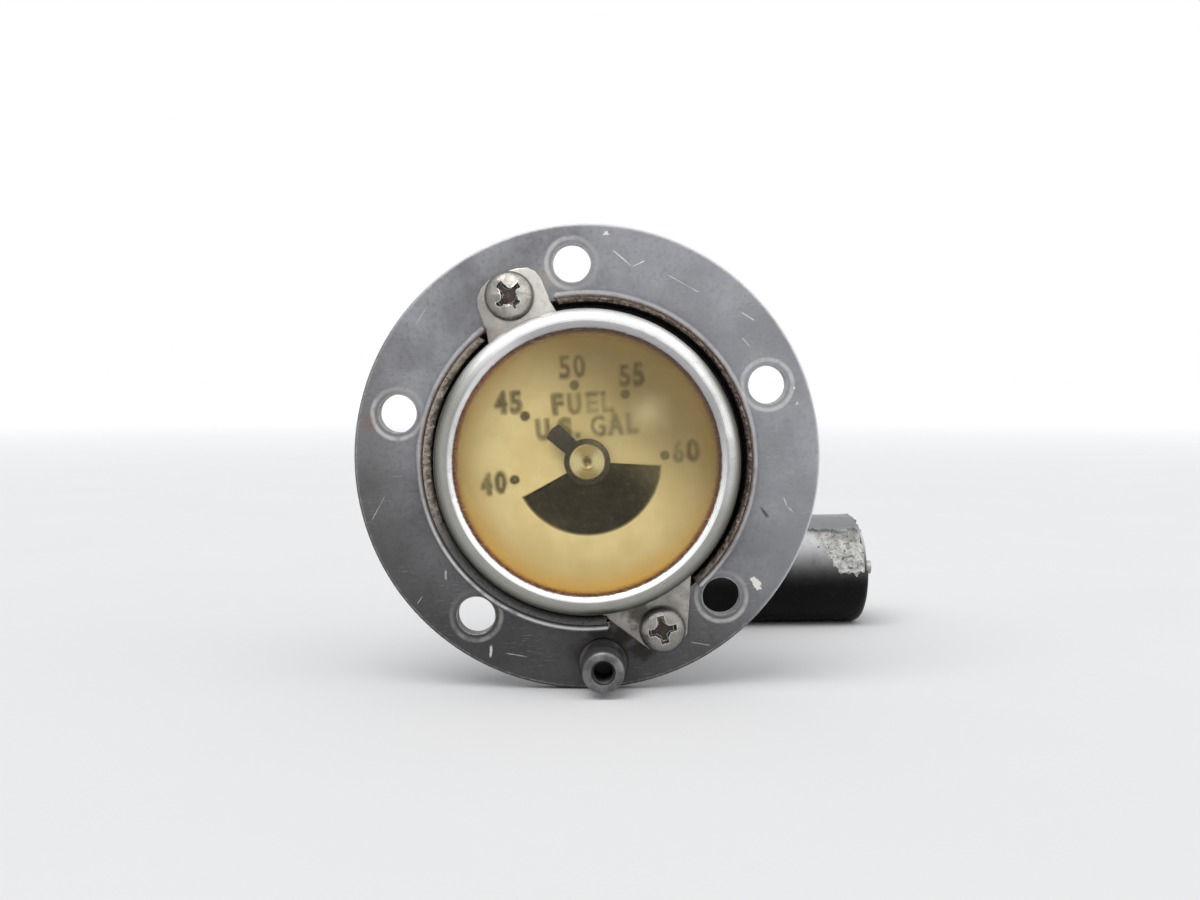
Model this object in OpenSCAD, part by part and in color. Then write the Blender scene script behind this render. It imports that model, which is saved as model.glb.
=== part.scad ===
// Direct-reading float fuel gauge: a five-hole tank flange with a magnetic dial in front
// and a bevel-geared float arm behind. Millimetres. The dial faces -Y, the tank is towards +Y,
// +Z runs from the flange's centre to its top screw hole, and the flange's back face is y = 0.

/* [Flange] */
// Thickness of the flange
flange_t = 3; // [2.6:0.1:5]
// Diameter of each tank screw hole
bolt_hole_d = 5.3; // [4:0.1:6]
// Width of metal left between the tank screw holes and the raised lip
hole_gap = 0.65; // [0.5:0.05:3]
// Width of metal left between the tank screw holes and the flange's rim
rim_w = 2.75; // [2:0.05:8]
// Angle from the top hole to each of the two side holes
side_hole_angle = 72.5; // [64:0.5:80]
// Angle from each side hole to the lower hole beside it
low_hole_step = 68; // [60:0.5:72]
// Chamfer round the flange's edges
flange_chamfer = 0.3; // [0.1:0.1:0.8]

/* [Dial recess] */
// How far the dial, shaft and arm lie below the flange's centre
axis_drop = 0.5; // [0:0.1:0.6]
// Height of the raised lip over the flange's face
lip_h = 2; // [1:0.1:3]
// Thickness of the raised lip
lip_t = 1; // [0.6:0.1:2]
// Width of the dark gap between the bezel and the lip
recess_gap = 1.6; // [1:0.1:2.4]
// Depth of the wide recess below the flange's face
recess_depth = 1.8; // [1.2:0.1:2]
// Clearance on each side of the upper ear in the lip's opening
ear_clear_top = 0.5; // [0.2:0.1:3]
// Clearance on each side of the lower ear in the lip's opening
ear_clear_low = 2.1; // [0.2:0.1:3]

/* [Dial case] */
// Diameter of the dial case where the bezel is crimped on
case_d = 41; // [36:0.1:46]
// Width of the step from there in to the cup behind, which holds the pointer's magnet
case_step_w = 2.7; // [2.4:0.1:4]
// Height of the case's rim over the flange's face
case_rise = 3; // [2.6:0.1:5]
// Depth of the cup behind the flange's face
cup_depth = 5; // [4.6:0.1:5.4]
// Wall of the dial case
case_wall = 1.2; // [0.8:0.1:1.4]
// Clearance round and under the dial case in the casting
case_clear = 0.4; // [0.2:0.1:0.5]
// Thickness of the two ears
ear_t = 0.8; // [0.6:0.1:1.2]
// Half width of an ear where it leaves the case
ear_root = 5.6; // [4.6:0.1:6.4]
// Radius of an ear's rounded end
ear_end_r = 3.6; // [3:0.1:4.2]
// Angle from the top to the upper dial screw
ear_angle = 20.1; // [17:0.1:24]

/* [Bezel and dial] */
// Thickness of the bezel's skirt
bezel_wall = 0.6; // [0.4:0.1:0.8]
// Width of the bezel's rolled front
bezel_w = 2.85; // [2.4:0.05:3.2]
// Height of the bezel's roll over the lens
bezel_roll = 0.7; // [0.4:0.1:1]
// Thickness of the lens
lens_t = 1.2; // [0.8:0.1:1.6]
// Thickness of the seal under the lens
seal_t = 0.4; // [0.3:0.1:0.6]
// Thickness of the printed dial plate
dial_t = 0.4; // [0.3:0.1:0.6]

/* [Dial screws] */
// Diameter of a pan head
pan_d = 6.9; // [6:0.1:8]
// Gap between a pan head and the bezel
screw_gap = 0.65; // [0.4:0.05:2]
// Height of a pan head
pan_h = 2.1; // [1.6:0.1:2.4]
// Diameter of a dial screw's thread
dial_screw_d = 3.5; // [3:0.1:3.8]

/* [Cover post] */
// Gap between the raised lip and the post's shoulder
post_gap = 1.1; // [0.4:0.1:1.4]
// Diameter of the post
post_d = 5.8; // [5:0.1:6.6]
// Width of the shoulder round the post's foot
post_shoulder_w = 0.6; // [0.4:0.1:0.8]
// Height of the post over the flange's face
post_h = 8; // [6:0.1:12]
// Diameter of the post's tapped hole
post_hole_d = 2.9; // [2:0.1:3.4]

/* [Pointer] */
// Length of the pointer's blade from the dial's centre
pointer_len = 6.4; // [5:0.1:9]
// Width of the blade at its outer end
pointer_w = 2.6; // [1.6:0.1:3]
// Diameter of the black collar round the hub
collar_d = 6.4; // [5.6:0.1:7]
// Diameter of the brass hub's face
hub_face_d = 5; // [4:0.1:5.4]
// Angle at which the pointer stands, from the right, as seen from the front
pointer_rest = 133.9; // [60:0.1:180]
// Diameter of the pointer's magnet
pointer_magnet_d = 12; // [8:0.1:20]
// Diameter of the fixed pivot that the pointer turns on
dial_pivot_d = 1.2; // [1:0.1:1.4]

/* [Housing behind the flange] */
// Wall, round the dial case's cup, of the boss that enters the tank's opening
boss_wall = 1.8; // [1.2:0.1:4]
// Depth of that boss
boss_h = 5; // [4.6:0.1:8]
// Diameter of the stem that carries the yoke
stem_d = 28; // [26:0.1:32]
// Length of the stem behind the boss
stem_h = 7; // [6.8:0.1:12]
// Thickness of the sealed wall between the two magnets
magnet_wall = 1.4; // [1:0.1:1.8]

/* [Shaft and magnet] */
// Diameter of the centre shaft
shaft_d = 3; // [2.6:0.1:3.2]
// Diameter of the drive magnet
drive_magnet_d = 12.6; // [10:0.1:13]
// Thickness of the drive magnet
drive_magnet_t = 3; // [2:0.1:3.4]
// Wall of the cup that holds the drive magnet
carrier_wall = 0.7; // [0.5:0.1:0.8]
// Radial clearance of every shaft and pin that turns in a hole
running_fit = 0.05; // [0.02:0.01:0.08]
// Gap left at the ends of what turns
end_float = 0.2; // [0.15:0.05:0.3]

/* [Bevel gears] */
// Size of the teeth, as pitch diameter for each tooth
gear_module = 0.8; // [0.75:0.01:0.84]
// Teeth on the pinion
pinion_teeth = 12; // [11:1:13]
// Teeth that the whole sector wheel would have
wheel_teeth = 32; // [30:1:34]
// Width of the teeth along the cone
face_w = 4; // [3:0.1:4.2]
// Angle of the toothed part of the wheel
sector_angle = 104; // [96:1:116]
// Pressure angle of the teeth
pressure_angle = 20; // [18:0.5:22]

/* [Yoke] */
// Thickness of the yoke's round base
yoke_base_t = 3.5; // [3:0.1:5]
// Distance from the flange's back face to the arm's pivot
pivot_y = 36; // [33:0.1:44]
// Thickness of each cheek
cheek_t = 2.2; // [1.8:0.1:3]
// Half the gap between the cheeks
cheek_gap = 8.2; // [7.6:0.1:9.4]
// Radius of each cheek's rounded end
cheek_end_r = 4.6; // [4:0.1:5.4]
// Diameter of the arm's pivot pin
pivot_d = 3; // [2.6:0.1:3.4]

/* [Float arm] */
// Diameter of the arm's wire
wire_d = 2.4; // [2:0.1:2.6]
// Length of the arm from its pivot to the bend
arm_len = 30; // [27:0.5:60]
// Angle of the arm below straight back, as the gauge is stored
arm_rest = 48; // [40:0.5:56]
// How far the arm rises from there
arm_up = 54; // [30:1:54]
// How far the arm drops from there
arm_down = 26; // [10:1:26]
// Inner radius of the bend on the wire's centre line
bend_r = 5; // [4:0.1:5.4]
// How far the bend stays short of a right angle
bend_short = 6; // [0:0.5:8]

/* [Float] */
// Diameter of the float
float_d = 19; // [14:0.1:24]
// Length of the float
float_len = 44; // [30:0.5:60]
// Rounding of the float's ends
float_round = 1.5; // [0.5:0.1:3]
// Depth of the torn patch in the float's skin
tear_depth = 1.7; // [0.8:0.1:2.4]
// Distance of the patch's middle from the float's outer end
tear_inset = 4; // [2:0.5:12]

/* [Hidden] */
$fn = 64;

// Cutters run this far past a face, or this far to leave the part altogether
past = 1;
through = 60;

// Heights in front of the flange's back face, towards the viewer
case_top = flange_t + case_rise;
cup_bottom = flange_t - cup_depth;
recess_floor = flange_t - recess_depth;
well_floor = cup_bottom - case_clear;
case_step = recess_floor + case_clear;
lens_bottom = case_top + seal_t;
lens_top = lens_bottom + lens_t;
ear_top = flange_t + ear_t;
skirt_gap = 0.3;
skirt_low = ear_top + skirt_gap;
dial_rise = 0.1;
dial_seat = flange_t + dial_rise;
dial_top = dial_seat + dial_t;
blade_gap = 1.1;
blade_t = 0.3;
blade_bottom = dial_top + blade_gap;
hub_face_bottom = blade_bottom + blade_t;
hub_face_t = 0.8;
cup_floor_t = 0.8;
cup_edge = 0.5;
pivot_boss_h = 1.6;
pivot_tip = 0.5;
magnet_seat_gap = 0.5;
magnet_seat = cup_bottom + pivot_boss_h + magnet_seat_gap;
pointer_magnet_t = 2;
screw_skin = 0.6;
post_floor = 1;
post_edge = 0.4;
post_foot_h = 0.7;
post_foot_slope = 0.5;

// Radii round the dial
case_r = case_d / 2;
cup_r = case_r - case_step_w;
case_rim_w = 1.6;
case_bore_r = case_r - case_rim_w;
cup_bore_r = cup_r - case_wall;
bezel_r = case_r + bezel_wall;
window_r = bezel_r - bezel_w;
recess_r = bezel_r + recess_gap;
lip_r = recess_r + lip_t;
lip_mid = recess_r + lip_t / 2;
lip_top = flange_t + lip_h;
lip_round = min(0.35, 0.35 * lip_t);
lip_end_inset = 0.03;
lip_end_r = lip_t / 2 - lip_end_inset;
well_r = cup_r + case_clear;
lens_gap = 0.5;
lens_r = case_r - lens_gap;
seal_show = 0.15;
hub_tube_wall = 0.5;
pivot_bore_r = dial_pivot_d / 2 + running_fit;
hub_tube_r = pivot_bore_r + hub_tube_wall;
dial_hole_gap = 0.45;
pivot_boss_r = 2.2;
post_spigot_r = 2;
post_shoulder_r = post_d / 2 + post_shoulder_w;

// Places of the holes, ears and post
pan_r = pan_d / 2;
dial_screw_r = dial_screw_d / 2;
dial_screw_fit = 0.15;
ear_screw_radius = bezel_r + screw_gap + pan_r;
ear_lap = 0.6;
ear_start = case_bore_r + ear_lap;
ear_angles = [90 + ear_angle, 270 + ear_angle];
ear_clears = [ear_clear_top, ear_clear_low];
bolt_hole_r = bolt_hole_d / 2;
bolt_radius = lip_r + hole_gap + bolt_hole_r;
flange_r = bolt_radius + bolt_hole_r + rim_w;
low_hole_angle = side_hole_angle + low_hole_step;
hole_angles = [90, 90 - side_hole_angle, 90 + side_hole_angle,
               90 - low_hole_angle, 90 + low_hole_angle];
post_radius = lip_r + axis_drop + post_gap + post_shoulder_r;

// Pan heads and their cross recesses
pan_edge_h = 0.8;
pan_round = 1.5;
cross_len = 3.8;
cross_w = 1;
cross_depth = 1.2;
cross_turn = 20;

// Places behind the flange, along +Y
boss_r = well_r + boss_wall;
boss_edge = 0.6;
stem_r = stem_d / 2;
stem_foot = 1.2;
chamber_floor = -well_floor + magnet_wall;
stem_end = boss_h + stem_h;
carrier_r = drive_magnet_d / 2 + carrier_wall;
chamber_gap = 0.6;
chamber_r = carrier_r + chamber_gap;
magnet_gap = 0.8;
magnet_front = chamber_floor + magnet_gap;
magnet_back = magnet_front + drive_magnet_t;
carrier_lip = 0.4;
carrier_floor_t = 0.8;
carrier_neck = 1.6;
yoke_back = stem_end + yoke_base_t;
yoke_edge = 0.8;
washer_t = 0.5;
washer_w = 2;
washer_back = stem_end - end_float;
carrier_back = washer_back - washer_t;
bush_wall = 1.3;
bush_flange_w = 1;
bush_flange_t = 0.7;
bush_back = yoke_back + bush_flange_t;
pinion_front = bush_back + end_float;
shaft_r = shaft_d / 2;
bush_r = shaft_r + bush_wall;
pinion_hub_r = shaft_r + 1.8;
pin_hole_r = 0.6;
pin_hole_at = 2;
pin_sunk = 0.1;
shaft_past_pinion = 0.6;

// The two screws that hold the yoke on the stem
yoke_screw_r = 1.45;
yoke_screw_fit = 0.1;
yoke_screw_bite = 6;
yoke_screw_tip_gap = 0.5;
yoke_screw_radius = (stem_r + chamber_r) / 2;
yoke_head_r = 2.6;
yoke_head_h = 1.6;
yoke_head_edge = 0.4;
yoke_slot_w = 0.7;
yoke_slot_depth = 0.7;

// Bevel gear geometry, with the two axes meeting at the arm's pivot
pinion_pitch_r = gear_module * pinion_teeth / 2;
wheel_pitch_r = gear_module * wheel_teeth / 2;
cone_len = norm([pinion_pitch_r, wheel_pitch_r]);
pinion_cone = atan2(pinion_pitch_r, wheel_pitch_r);
wheel_cone = 90 - pinion_cone;
taper = (cone_len - face_w) / cone_len;
pinion_addendum = 1.1 * gear_module;
wheel_addendum = 0.55 * gear_module;
root_gap = 0.25 * gear_module;
pinion_tooth_t = 1.68 * gear_module;
wheel_tooth_t = 1.2 * gear_module;
tooth_steps = 6;
pinion_tooth_sink = 0.3;
wheel_tooth_sink = 0.2;
pinion_edge = 0.4;
rim_lap = 0.5;
rim_edge = 0.3;
rim_inset = 0.2;

// The arm's hub on its pivot
pivot_r = pivot_d / 2;
hub_bore_r = pivot_r + running_fit;
arm_hub_wall = 2.5;
arm_hub_r = pivot_r + arm_hub_wall;
hub_end = cheek_gap - end_float;
web_gap = 0.6;
web_t = 2.2;
web_back = cheek_gap - web_gap;
web_front = web_back - web_t;
stop_pin_r = 1;
stop_fit = 0.15;
stop_slot_r = stop_pin_r + stop_fit;
stop_wall = 1.5;
stop_radius = arm_hub_r + stop_wall + stop_slot_r;
stop_pin_proud = 0.4;
stop_over = 1;
slot_end_swell = 0.1;
sector_mid = 180 + (arm_down - arm_up) / 2;
cheek_root = 7;
cheek_lap = 0.5;
clip_gap = 0.2;
clip_at = cheek_gap + cheek_t + clip_gap;
clip_t = 0.6;
clip_w = 1.3;
clip_jaw = 0.5;
groove_depth = 0.4;
pin_past_clip = 0.8;

// The arm's wire and its socket in the hub
wire_r = wire_d / 2;
wire_x = -3.5;
socket_wall = 1.6;
socket_r = wire_r + socket_wall;
socket_len = 10;
wire_root = hub_bore_r + 1;
wire_screw_at = 7.4;
wire_screw_r = 1;
wire_screw_proud = 0.4;
wire_slot_w = 0.4;
wire_slot_depth = 0.6;
bend_run = bend_r * tan((90 - bend_short) / 2);
bend_swell = 0.02;
bend_lap = 0.3;

// The float on its wire
nut_t = 0.8;
nut_r = 3;
nut_gap = 0.3;
wire_past_nut = 1.2;
float_start = bend_run + nut_gap + nut_t + end_float;
float_end = float_start + float_len;
corner_steps = 6;
tear_r = 9;
tear_angle = 208;

// Turns children from x right, y up, z towards the viewer into the part's frame, on the dial's axis
module facing() {
    translate([0, 0, -axis_drop]) rotate([90, 0, 0]) children();
}

// The same, with z towards the tank
module behind() {
    translate([0, 0, -axis_drop]) rotate([-90, 0, 0]) children();
}

// Puts children on the arm's pivot: x straight back, y up, z along the pivot to the right
module on_pivot() {
    translate([0, pivot_y, -axis_drop]) rotate([90, 0, 90]) children();
}

// Puts children on the line that the float turns on, z from the wire's bend outwards
module on_float_line() {
    on_pivot() rotate([0, 0, -arm_rest]) translate([arm_len, 0, wire_x])
        rotate([0, bend_short, 0]) children();
}

// A ring or disc between two heights
module ring(outer, inner, low, high) {
    difference() {
        translate([0, 0, low]) cylinder(r = outer, h = high - low);
        if (inner > 0) translate([0, 0, low - past]) cylinder(r = inner, h = high - low + 2 * past);
    }
}

// Where a line from point p touches a circle, on the side given by 1 or -1
function touch(p, c, r, side) =
    let (v = p - c, a = atan2(v.y, v.x) + side * acos(r / norm(v)))
    c + r * [cos(a), sin(a)];

// A flat bar that tapers from a straight root to a round end at distance far
module tapered_tab(root_half, root_at, far, end_r) {
    low = [root_at, -root_half];
    high = [root_at, root_half];
    polygon([low, touch(low, [far, 0], end_r, 1), [far, 0], touch(high, [far, 0], end_r, -1), high]);
    translate([far, 0]) circle(r = end_r);
}

// Half the width of an ear at distance x from the dial's centre, along its straight edge
function ear_half(x) =
    let (p = [ear_start, ear_root], t = touch(p, [ear_screw_radius, 0], ear_end_r, -1))
    p.y + (t.y - p.y) * (x - p.x) / (t.x - p.x);

// Half the angle of the lip's opening beside an ear, up to the middle of the lip's round ends
function opening_half(clear) = asin((ear_half(recess_r) + clear + lip_end_r) / recess_r);

// The right half of the lip's section, with its front edge rounded
function lip_side(half, top) =
    [for (a = [0 : 30 : 90]) [half + lip_round * (cos(a) - 1), top + lip_round * (sin(a) - 1)]];

// The raised lip, open beside each ear and round at its four ends
module lip() {
    side = lip_side(lip_t / 2, lip_top);
    difference() {
        rotate_extrude() translate([lip_mid, 0]) polygon(concat(
            [[-lip_t / 2, recess_floor], [lip_t / 2, recess_floor]], side,
            [for (k = [len(side) - 1 : -1 : 0]) [-side[k].x, side[k].y]]
        ));
        for (k = [0, 1]) rotate([0, 0, ear_angles[k] - opening_half(ear_clears[k])])
            translate([0, 0, flange_t - 2 * lip_round])
                rotate_extrude(angle = 2 * opening_half(ear_clears[k])) square([lip_r + past, through]);
    }
    for (k = [0, 1]) for (turn = [-1, 1])
        rotate([0, 0, ear_angles[k] + turn * opening_half(ear_clears[k])]) translate([lip_mid, 0, 0])
            rotate([0, 0, 90 * turn]) rotate_extrude() polygon(concat(
                [[0, flange_t - lip_round], [lip_end_r, flange_t - lip_round]],
                lip_side(lip_end_r, lip_top - lip_end_inset), [[0, lip_top - lip_end_inset]]
            ));
}

module head_casting() {
    color("silver") difference() {
        union() {
            translate([0, 0, axis_drop]) facing() rotate_extrude() polygon([
                [0, 0], [flange_r - flange_chamfer, 0], [flange_r, flange_chamfer],
                [flange_r, flange_t - flange_chamfer], [flange_r - flange_chamfer, flange_t],
                [0, flange_t]
            ]);
            facing() lip();
            behind() rotate_extrude() polygon([
                [0, 0], [boss_r, 0], [boss_r, boss_h - boss_edge], [boss_r - boss_edge, boss_h],
                [stem_r + stem_foot, boss_h], [stem_r, boss_h + stem_foot], [stem_r, stem_end], [0, stem_end]
            ]);
        }
        facing() translate([0, 0, recess_floor]) cylinder(r = recess_r, h = through);
        facing() translate([0, 0, well_floor]) cylinder(r = well_r, h = through);
        behind() translate([0, 0, chamber_floor]) cylinder(r = chamber_r, h = through);
        translate([0, 0, axis_drop]) facing() {
            for (a = hole_angles) rotate([0, 0, a]) translate([bolt_radius, 0, -past])
                cylinder(r = bolt_hole_r, h = flange_t + 2 * past);
            translate([0, -post_radius, -past]) cylinder(r = post_spigot_r, h = flange_t + 2 * past);
        }
        facing() for (a = ear_angles) rotate([0, 0, a]) translate([ear_screw_radius, 0, screw_skin])
            cylinder(r = dial_screw_r, h = flange_t);
        behind() for (side = [-1, 1])
            translate([0, side * yoke_screw_radius, stem_end - yoke_screw_bite])
                cylinder(r = yoke_screw_r, h = through);
    }
}

module cover_post() {
    top = flange_t + post_h;
    foot = flange_t + post_foot_h;
    hole_r = post_hole_d / 2;
    color("dimgray") translate([0, 0, axis_drop]) facing() translate([0, -post_radius, 0]) difference() {
        rotate_extrude() polygon([
            [0, 0], [post_spigot_r, 0], [post_spigot_r, flange_t], [post_shoulder_r, flange_t],
            [post_shoulder_r, foot], [post_d / 2, foot + post_foot_slope],
            [post_d / 2, top - post_edge], [post_d / 2 - post_edge, top], [0, top]
        ]);
        translate([0, 0, flange_t + post_floor]) cylinder(r = hole_r, h = post_h);
        translate([0, 0, top - post_edge])
            cylinder(r1 = hole_r, r2 = hole_r + 2 * post_edge, h = 2 * post_edge);
    }
}

module dial_case() {
    color("gainsboro") facing() difference() {
        union() {
            rotate_extrude() polygon([
                [0, cup_bottom], [cup_r - cup_edge, cup_bottom], [cup_r, cup_bottom + cup_edge],
                [cup_r, case_step], [case_r, case_step], [case_r, case_top],
                [case_bore_r, case_top], [case_bore_r, dial_seat], [cup_bore_r, dial_seat],
                [cup_bore_r, cup_bottom + cup_floor_t], [pivot_boss_r, cup_bottom + cup_floor_t],
                [pivot_boss_r, cup_bottom + pivot_boss_h],
                [0, cup_bottom + pivot_boss_h]
            ]);
            for (a = ear_angles) rotate([0, 0, a]) translate([0, 0, flange_t]) difference() {
                linear_extrude(ear_t) tapered_tab(ear_root, ear_start, ear_screw_radius, ear_end_r);
                translate([0, 0, -past]) cylinder(r = case_bore_r + ear_lap / 2, h = ear_t + 2 * past);
            }
        }
        for (a = ear_angles) rotate([0, 0, a])
            translate([ear_screw_radius, 0, 0]) cylinder(r = dial_screw_r + dial_screw_fit, h = through);
        translate([0, 0, cup_bottom - past]) cylinder(d = dial_pivot_d, h = through);
    }
}

module bezel() {
    crest = lens_top + bezel_roll;
    out_run = bezel_w / 2;
    in_run = bezel_w - out_run;
    color("lightgray") facing() rotate_extrude() polygon(concat(
        [[case_r, skirt_low], [bezel_r, skirt_low]],
        [for (a = [0 : 15 : 90]) [bezel_r - out_run + out_run * cos(a), crest - out_run + out_run * sin(a)]],
        [for (a = [15 : 15 : 90]) [window_r + in_run - in_run * sin(a), lens_top + bezel_roll * cos(a)]],
        [[case_r, lens_top]]
    ));
}

module lens() {
    color("khaki", 0.4) facing() rotate_extrude() polygon([
        [0, lens_bottom], [lens_r, lens_bottom], [lens_r, lens_top], [0, lens_top]
    ]);
}

module lens_seal() {
    color("saddlebrown") facing() ring(lens_r, window_r - seal_show, case_top, lens_bottom);
}

module dial_plate() {
    color("wheat") facing() ring(case_bore_r, hub_tube_r + dial_hole_gap, dial_seat, dial_top);
}

module dial_screws() {
    flank = pan_r - pan_round;
    dome = pan_h - pan_edge_h;
    color("silver") facing() for (a = ear_angles) rotate([0, 0, a]) translate([ear_screw_radius, 0, 0])
        rotate([0, 0, cross_turn - a]) difference() {
            union() {
                translate([0, 0, screw_skin]) cylinder(r = dial_screw_r, h = ear_top);
                translate([0, 0, ear_top]) rotate_extrude() polygon(concat(
                    [[0, 0], [pan_r, 0]],
                    [for (q = [0 : 15 : 90]) [flank + pan_round * cos(q), pan_edge_h + dome * sin(q)]],
                    [[0, pan_h]]
                ));
            }
            translate([0, 0, ear_top + pan_h - cross_depth]) for (q = [0, 90]) rotate([0, 0, q])
                translate([-cross_len / 2, -cross_w / 2, 0]) cube([cross_len, cross_w, pan_h]);
        }
}

module dial_pivot() {
    tip = hub_face_bottom - 0.1;
    pivot_pin_r = dial_pivot_d / 2;
    color("lightsteelblue") facing() rotate_extrude() polygon([
        [0, cup_bottom], [pivot_pin_r, cup_bottom], [pivot_pin_r, tip - pivot_tip],
        [pivot_pin_r / 6, tip], [0, tip]
    ]);
}

module pointer() {
    root_half = 0.4 * pointer_w;
    nose = 0.3;
    color("black") facing() difference() {
        translate([0, 0, blade_bottom]) linear_extrude(blade_t) union() {
            circle(d = collar_d);
            rotate(pointer_rest) polygon([
                [0, -root_half], [pointer_len, -pointer_w / 2], [pointer_len + nose, 0],
                [pointer_len, pointer_w / 2], [0, root_half]
            ]);
        }
        translate([0, 0, blade_bottom - past]) cylinder(r = hub_tube_r, h = blade_t + 2 * past);
    }
}

module pointer_hub() {
    face_r = hub_face_d / 2;
    edge = 0.15;
    dimple_r = 0.9;
    dimple_depth = 0.45;
    face_top = hub_face_bottom + hub_face_t;
    color("goldenrod") facing() difference() {
        rotate_extrude() polygon([
            [0, magnet_seat], [hub_tube_r, magnet_seat], [hub_tube_r, hub_face_bottom],
            [face_r, hub_face_bottom], [face_r, face_top - edge], [face_r - edge, face_top],
            [dimple_r, face_top], [0, face_top - dimple_depth]
        ]);
        translate([0, 0, magnet_seat - past])
            cylinder(r = pivot_bore_r, h = hub_face_bottom - magnet_seat + past);
    }
}

module pointer_magnet() {
    color("dimgray") facing()
        ring(pointer_magnet_d / 2, hub_tube_r, magnet_seat, magnet_seat + pointer_magnet_t);
}

// A cheek: round at the pivot, widening to a straight root at distance reach
module cheek_outline(root_half, reach, end_r) {
    translate([reach, 0]) mirror([1, 0]) tapered_tab(root_half, 0, reach, end_r);
}

module support_yoke() {
    color("silver") difference() {
        union() {
            behind() rotate_extrude() polygon([
                [0, stem_end], [stem_r, stem_end], [stem_r, yoke_back - yoke_edge],
                [stem_r - yoke_edge, yoke_back], [0, yoke_back]
            ]);
            on_pivot() for (side = [0, 1]) mirror([0, 0, side]) translate([0, 0, cheek_gap])
                linear_extrude(cheek_t) rotate(180)
                    cheek_outline(cheek_root, pivot_y - yoke_back + cheek_lap, cheek_end_r);
        }
        behind() translate([0, 0, stem_end - past]) {
            cylinder(r = bush_r, h = yoke_base_t + 2 * past);
            for (side = [-1, 1]) translate([0, side * yoke_screw_radius, 0])
                cylinder(r = yoke_screw_r + yoke_screw_fit, h = yoke_base_t + 2 * past);
        }
        on_pivot() {
            translate([0, 0, -through]) cylinder(r = pivot_r, h = 2 * through);
            translate([-stop_radius, 0, 0]) cylinder(r = stop_pin_r, h = through);
        }
    }
}

module yoke_screws() {
    color("silver") behind() for (side = [-1, 1]) translate([0, side * yoke_screw_radius, 0]) difference() {
        union() {
            translate([0, 0, stem_end - yoke_screw_bite + yoke_screw_tip_gap])
                cylinder(r = yoke_screw_r, h = yoke_screw_bite + yoke_base_t);
            translate([0, 0, yoke_back]) rotate_extrude() polygon([
                [0, 0], [yoke_head_r, 0], [yoke_head_r, yoke_head_h - yoke_head_edge],
                [yoke_head_r - yoke_head_edge, yoke_head_h], [0, yoke_head_h]
            ]);
        }
        translate([-through / 2, -yoke_slot_w / 2, yoke_back + yoke_head_h - yoke_slot_depth])
            cube([through, yoke_slot_w, through]);
    }
}

module shaft_bush() {
    color("darkgoldenrod") behind() difference() {
        rotate_extrude() polygon([
            [0, stem_end], [bush_r, stem_end], [bush_r, yoke_back], [bush_r + bush_flange_w, yoke_back],
            [bush_r + bush_flange_w, bush_back], [0, bush_back]
        ]);
        translate([0, 0, stem_end - past])
            cylinder(r = shaft_r + running_fit, h = yoke_base_t + bush_flange_t + 2 * past);
    }
}

module pivot_pin() {
    half = clip_at + clip_t + pin_past_clip;
    color("lightsteelblue") on_pivot() difference() {
        translate([0, 0, -half]) cylinder(r = pivot_r, h = 2 * half);
        for (side = [0, 1]) mirror([0, 0, side])
            ring(pivot_r + past, pivot_r - groove_depth, clip_at, clip_at + clip_t);
    }
}

module pivot_clips() {
    jaw_half = pivot_r - clip_jaw;
    color("slategray") on_pivot() for (side = [0, 1]) mirror([0, 0, side])
        translate([0, 0, clip_at]) difference() {
            cylinder(r = pivot_r + clip_w, h = clip_t);
            translate([0, 0, -past]) cylinder(r = pivot_r - groove_depth, h = clip_t + 2 * past);
            translate([0, -jaw_half, -past]) cube([through, 2 * jaw_half, clip_t + 2 * past]);
        }
}

module stop_pin() {
    color("lightsteelblue") on_pivot() translate([-stop_radius, 0, web_front - stop_pin_proud])
        cylinder(r = stop_pin_r, h = cheek_gap + cheek_t - web_front + stop_pin_proud);
}

module centre_shaft() {
    shaft_end = pivot_y - cone_point(pinion_cone, 0, taper).y + shaft_past_pinion;
    color("lightsteelblue") behind() difference() {
        translate([0, 0, magnet_front]) cylinder(r = shaft_r, h = shaft_end - magnet_front);
        translate([0, 0, pinion_front + pin_hole_at]) rotate([90, 0, 0])
            cylinder(r = pin_hole_r, h = through, center = true);
    }
}

module magnet_carrier() {
    magnet_r = drive_magnet_d / 2;
    rim = magnet_front + carrier_lip;
    back = magnet_back + carrier_floor_t;
    color("goldenrod") behind() rotate_extrude() polygon([
        [shaft_r, magnet_back], [magnet_r, magnet_back], [magnet_r, rim],
        [carrier_r, rim], [carrier_r, back], [shaft_r + carrier_neck, back],
        [shaft_r + carrier_neck, carrier_back], [shaft_r, carrier_back]
    ]);
}

module drive_magnet() {
    color("dimgray") behind() ring(drive_magnet_d / 2, shaft_r, magnet_front, magnet_back);
}

module thrust_washer() {
    color("darkgoldenrod") behind() ring(shaft_r + washer_w, shaft_r, carrier_back, washer_back);
}

// Distance from the gear's axis and from the shared apex of a point that stands h over the pitch cone
function cone_point(cone, h, size) =
    size * [cone_len * sin(cone) + h * cos(cone), cone_len * cos(cone) - h * sin(cone)];

// Involute of an angle, in degrees
function involute(a) = tan(a) * 180 / PI - a;

// One tooth in section, square to the pitch cone: x over the pitch line, y across
function tooth_outline(pitch_r, cone, thick, top, bottom) =
    let (
        r = pitch_r / cos(cone),
        base = r * cos(pressure_angle),
        half = thick / (2 * r) * 180 / PI + involute(pressure_angle),
        radii = [for (k = [0 : tooth_steps]) r - bottom + (top + bottom) * k / tooth_steps],
        side = [for (q = radii) let (a = half - involute(acos(min(1, base / q))))
            [q * cos(a) - r, q * sin(a)]]
    )
    concat(side, [for (k = [tooth_steps : -1 : 0]) [side[k].x, -side[k].y]]);

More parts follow.
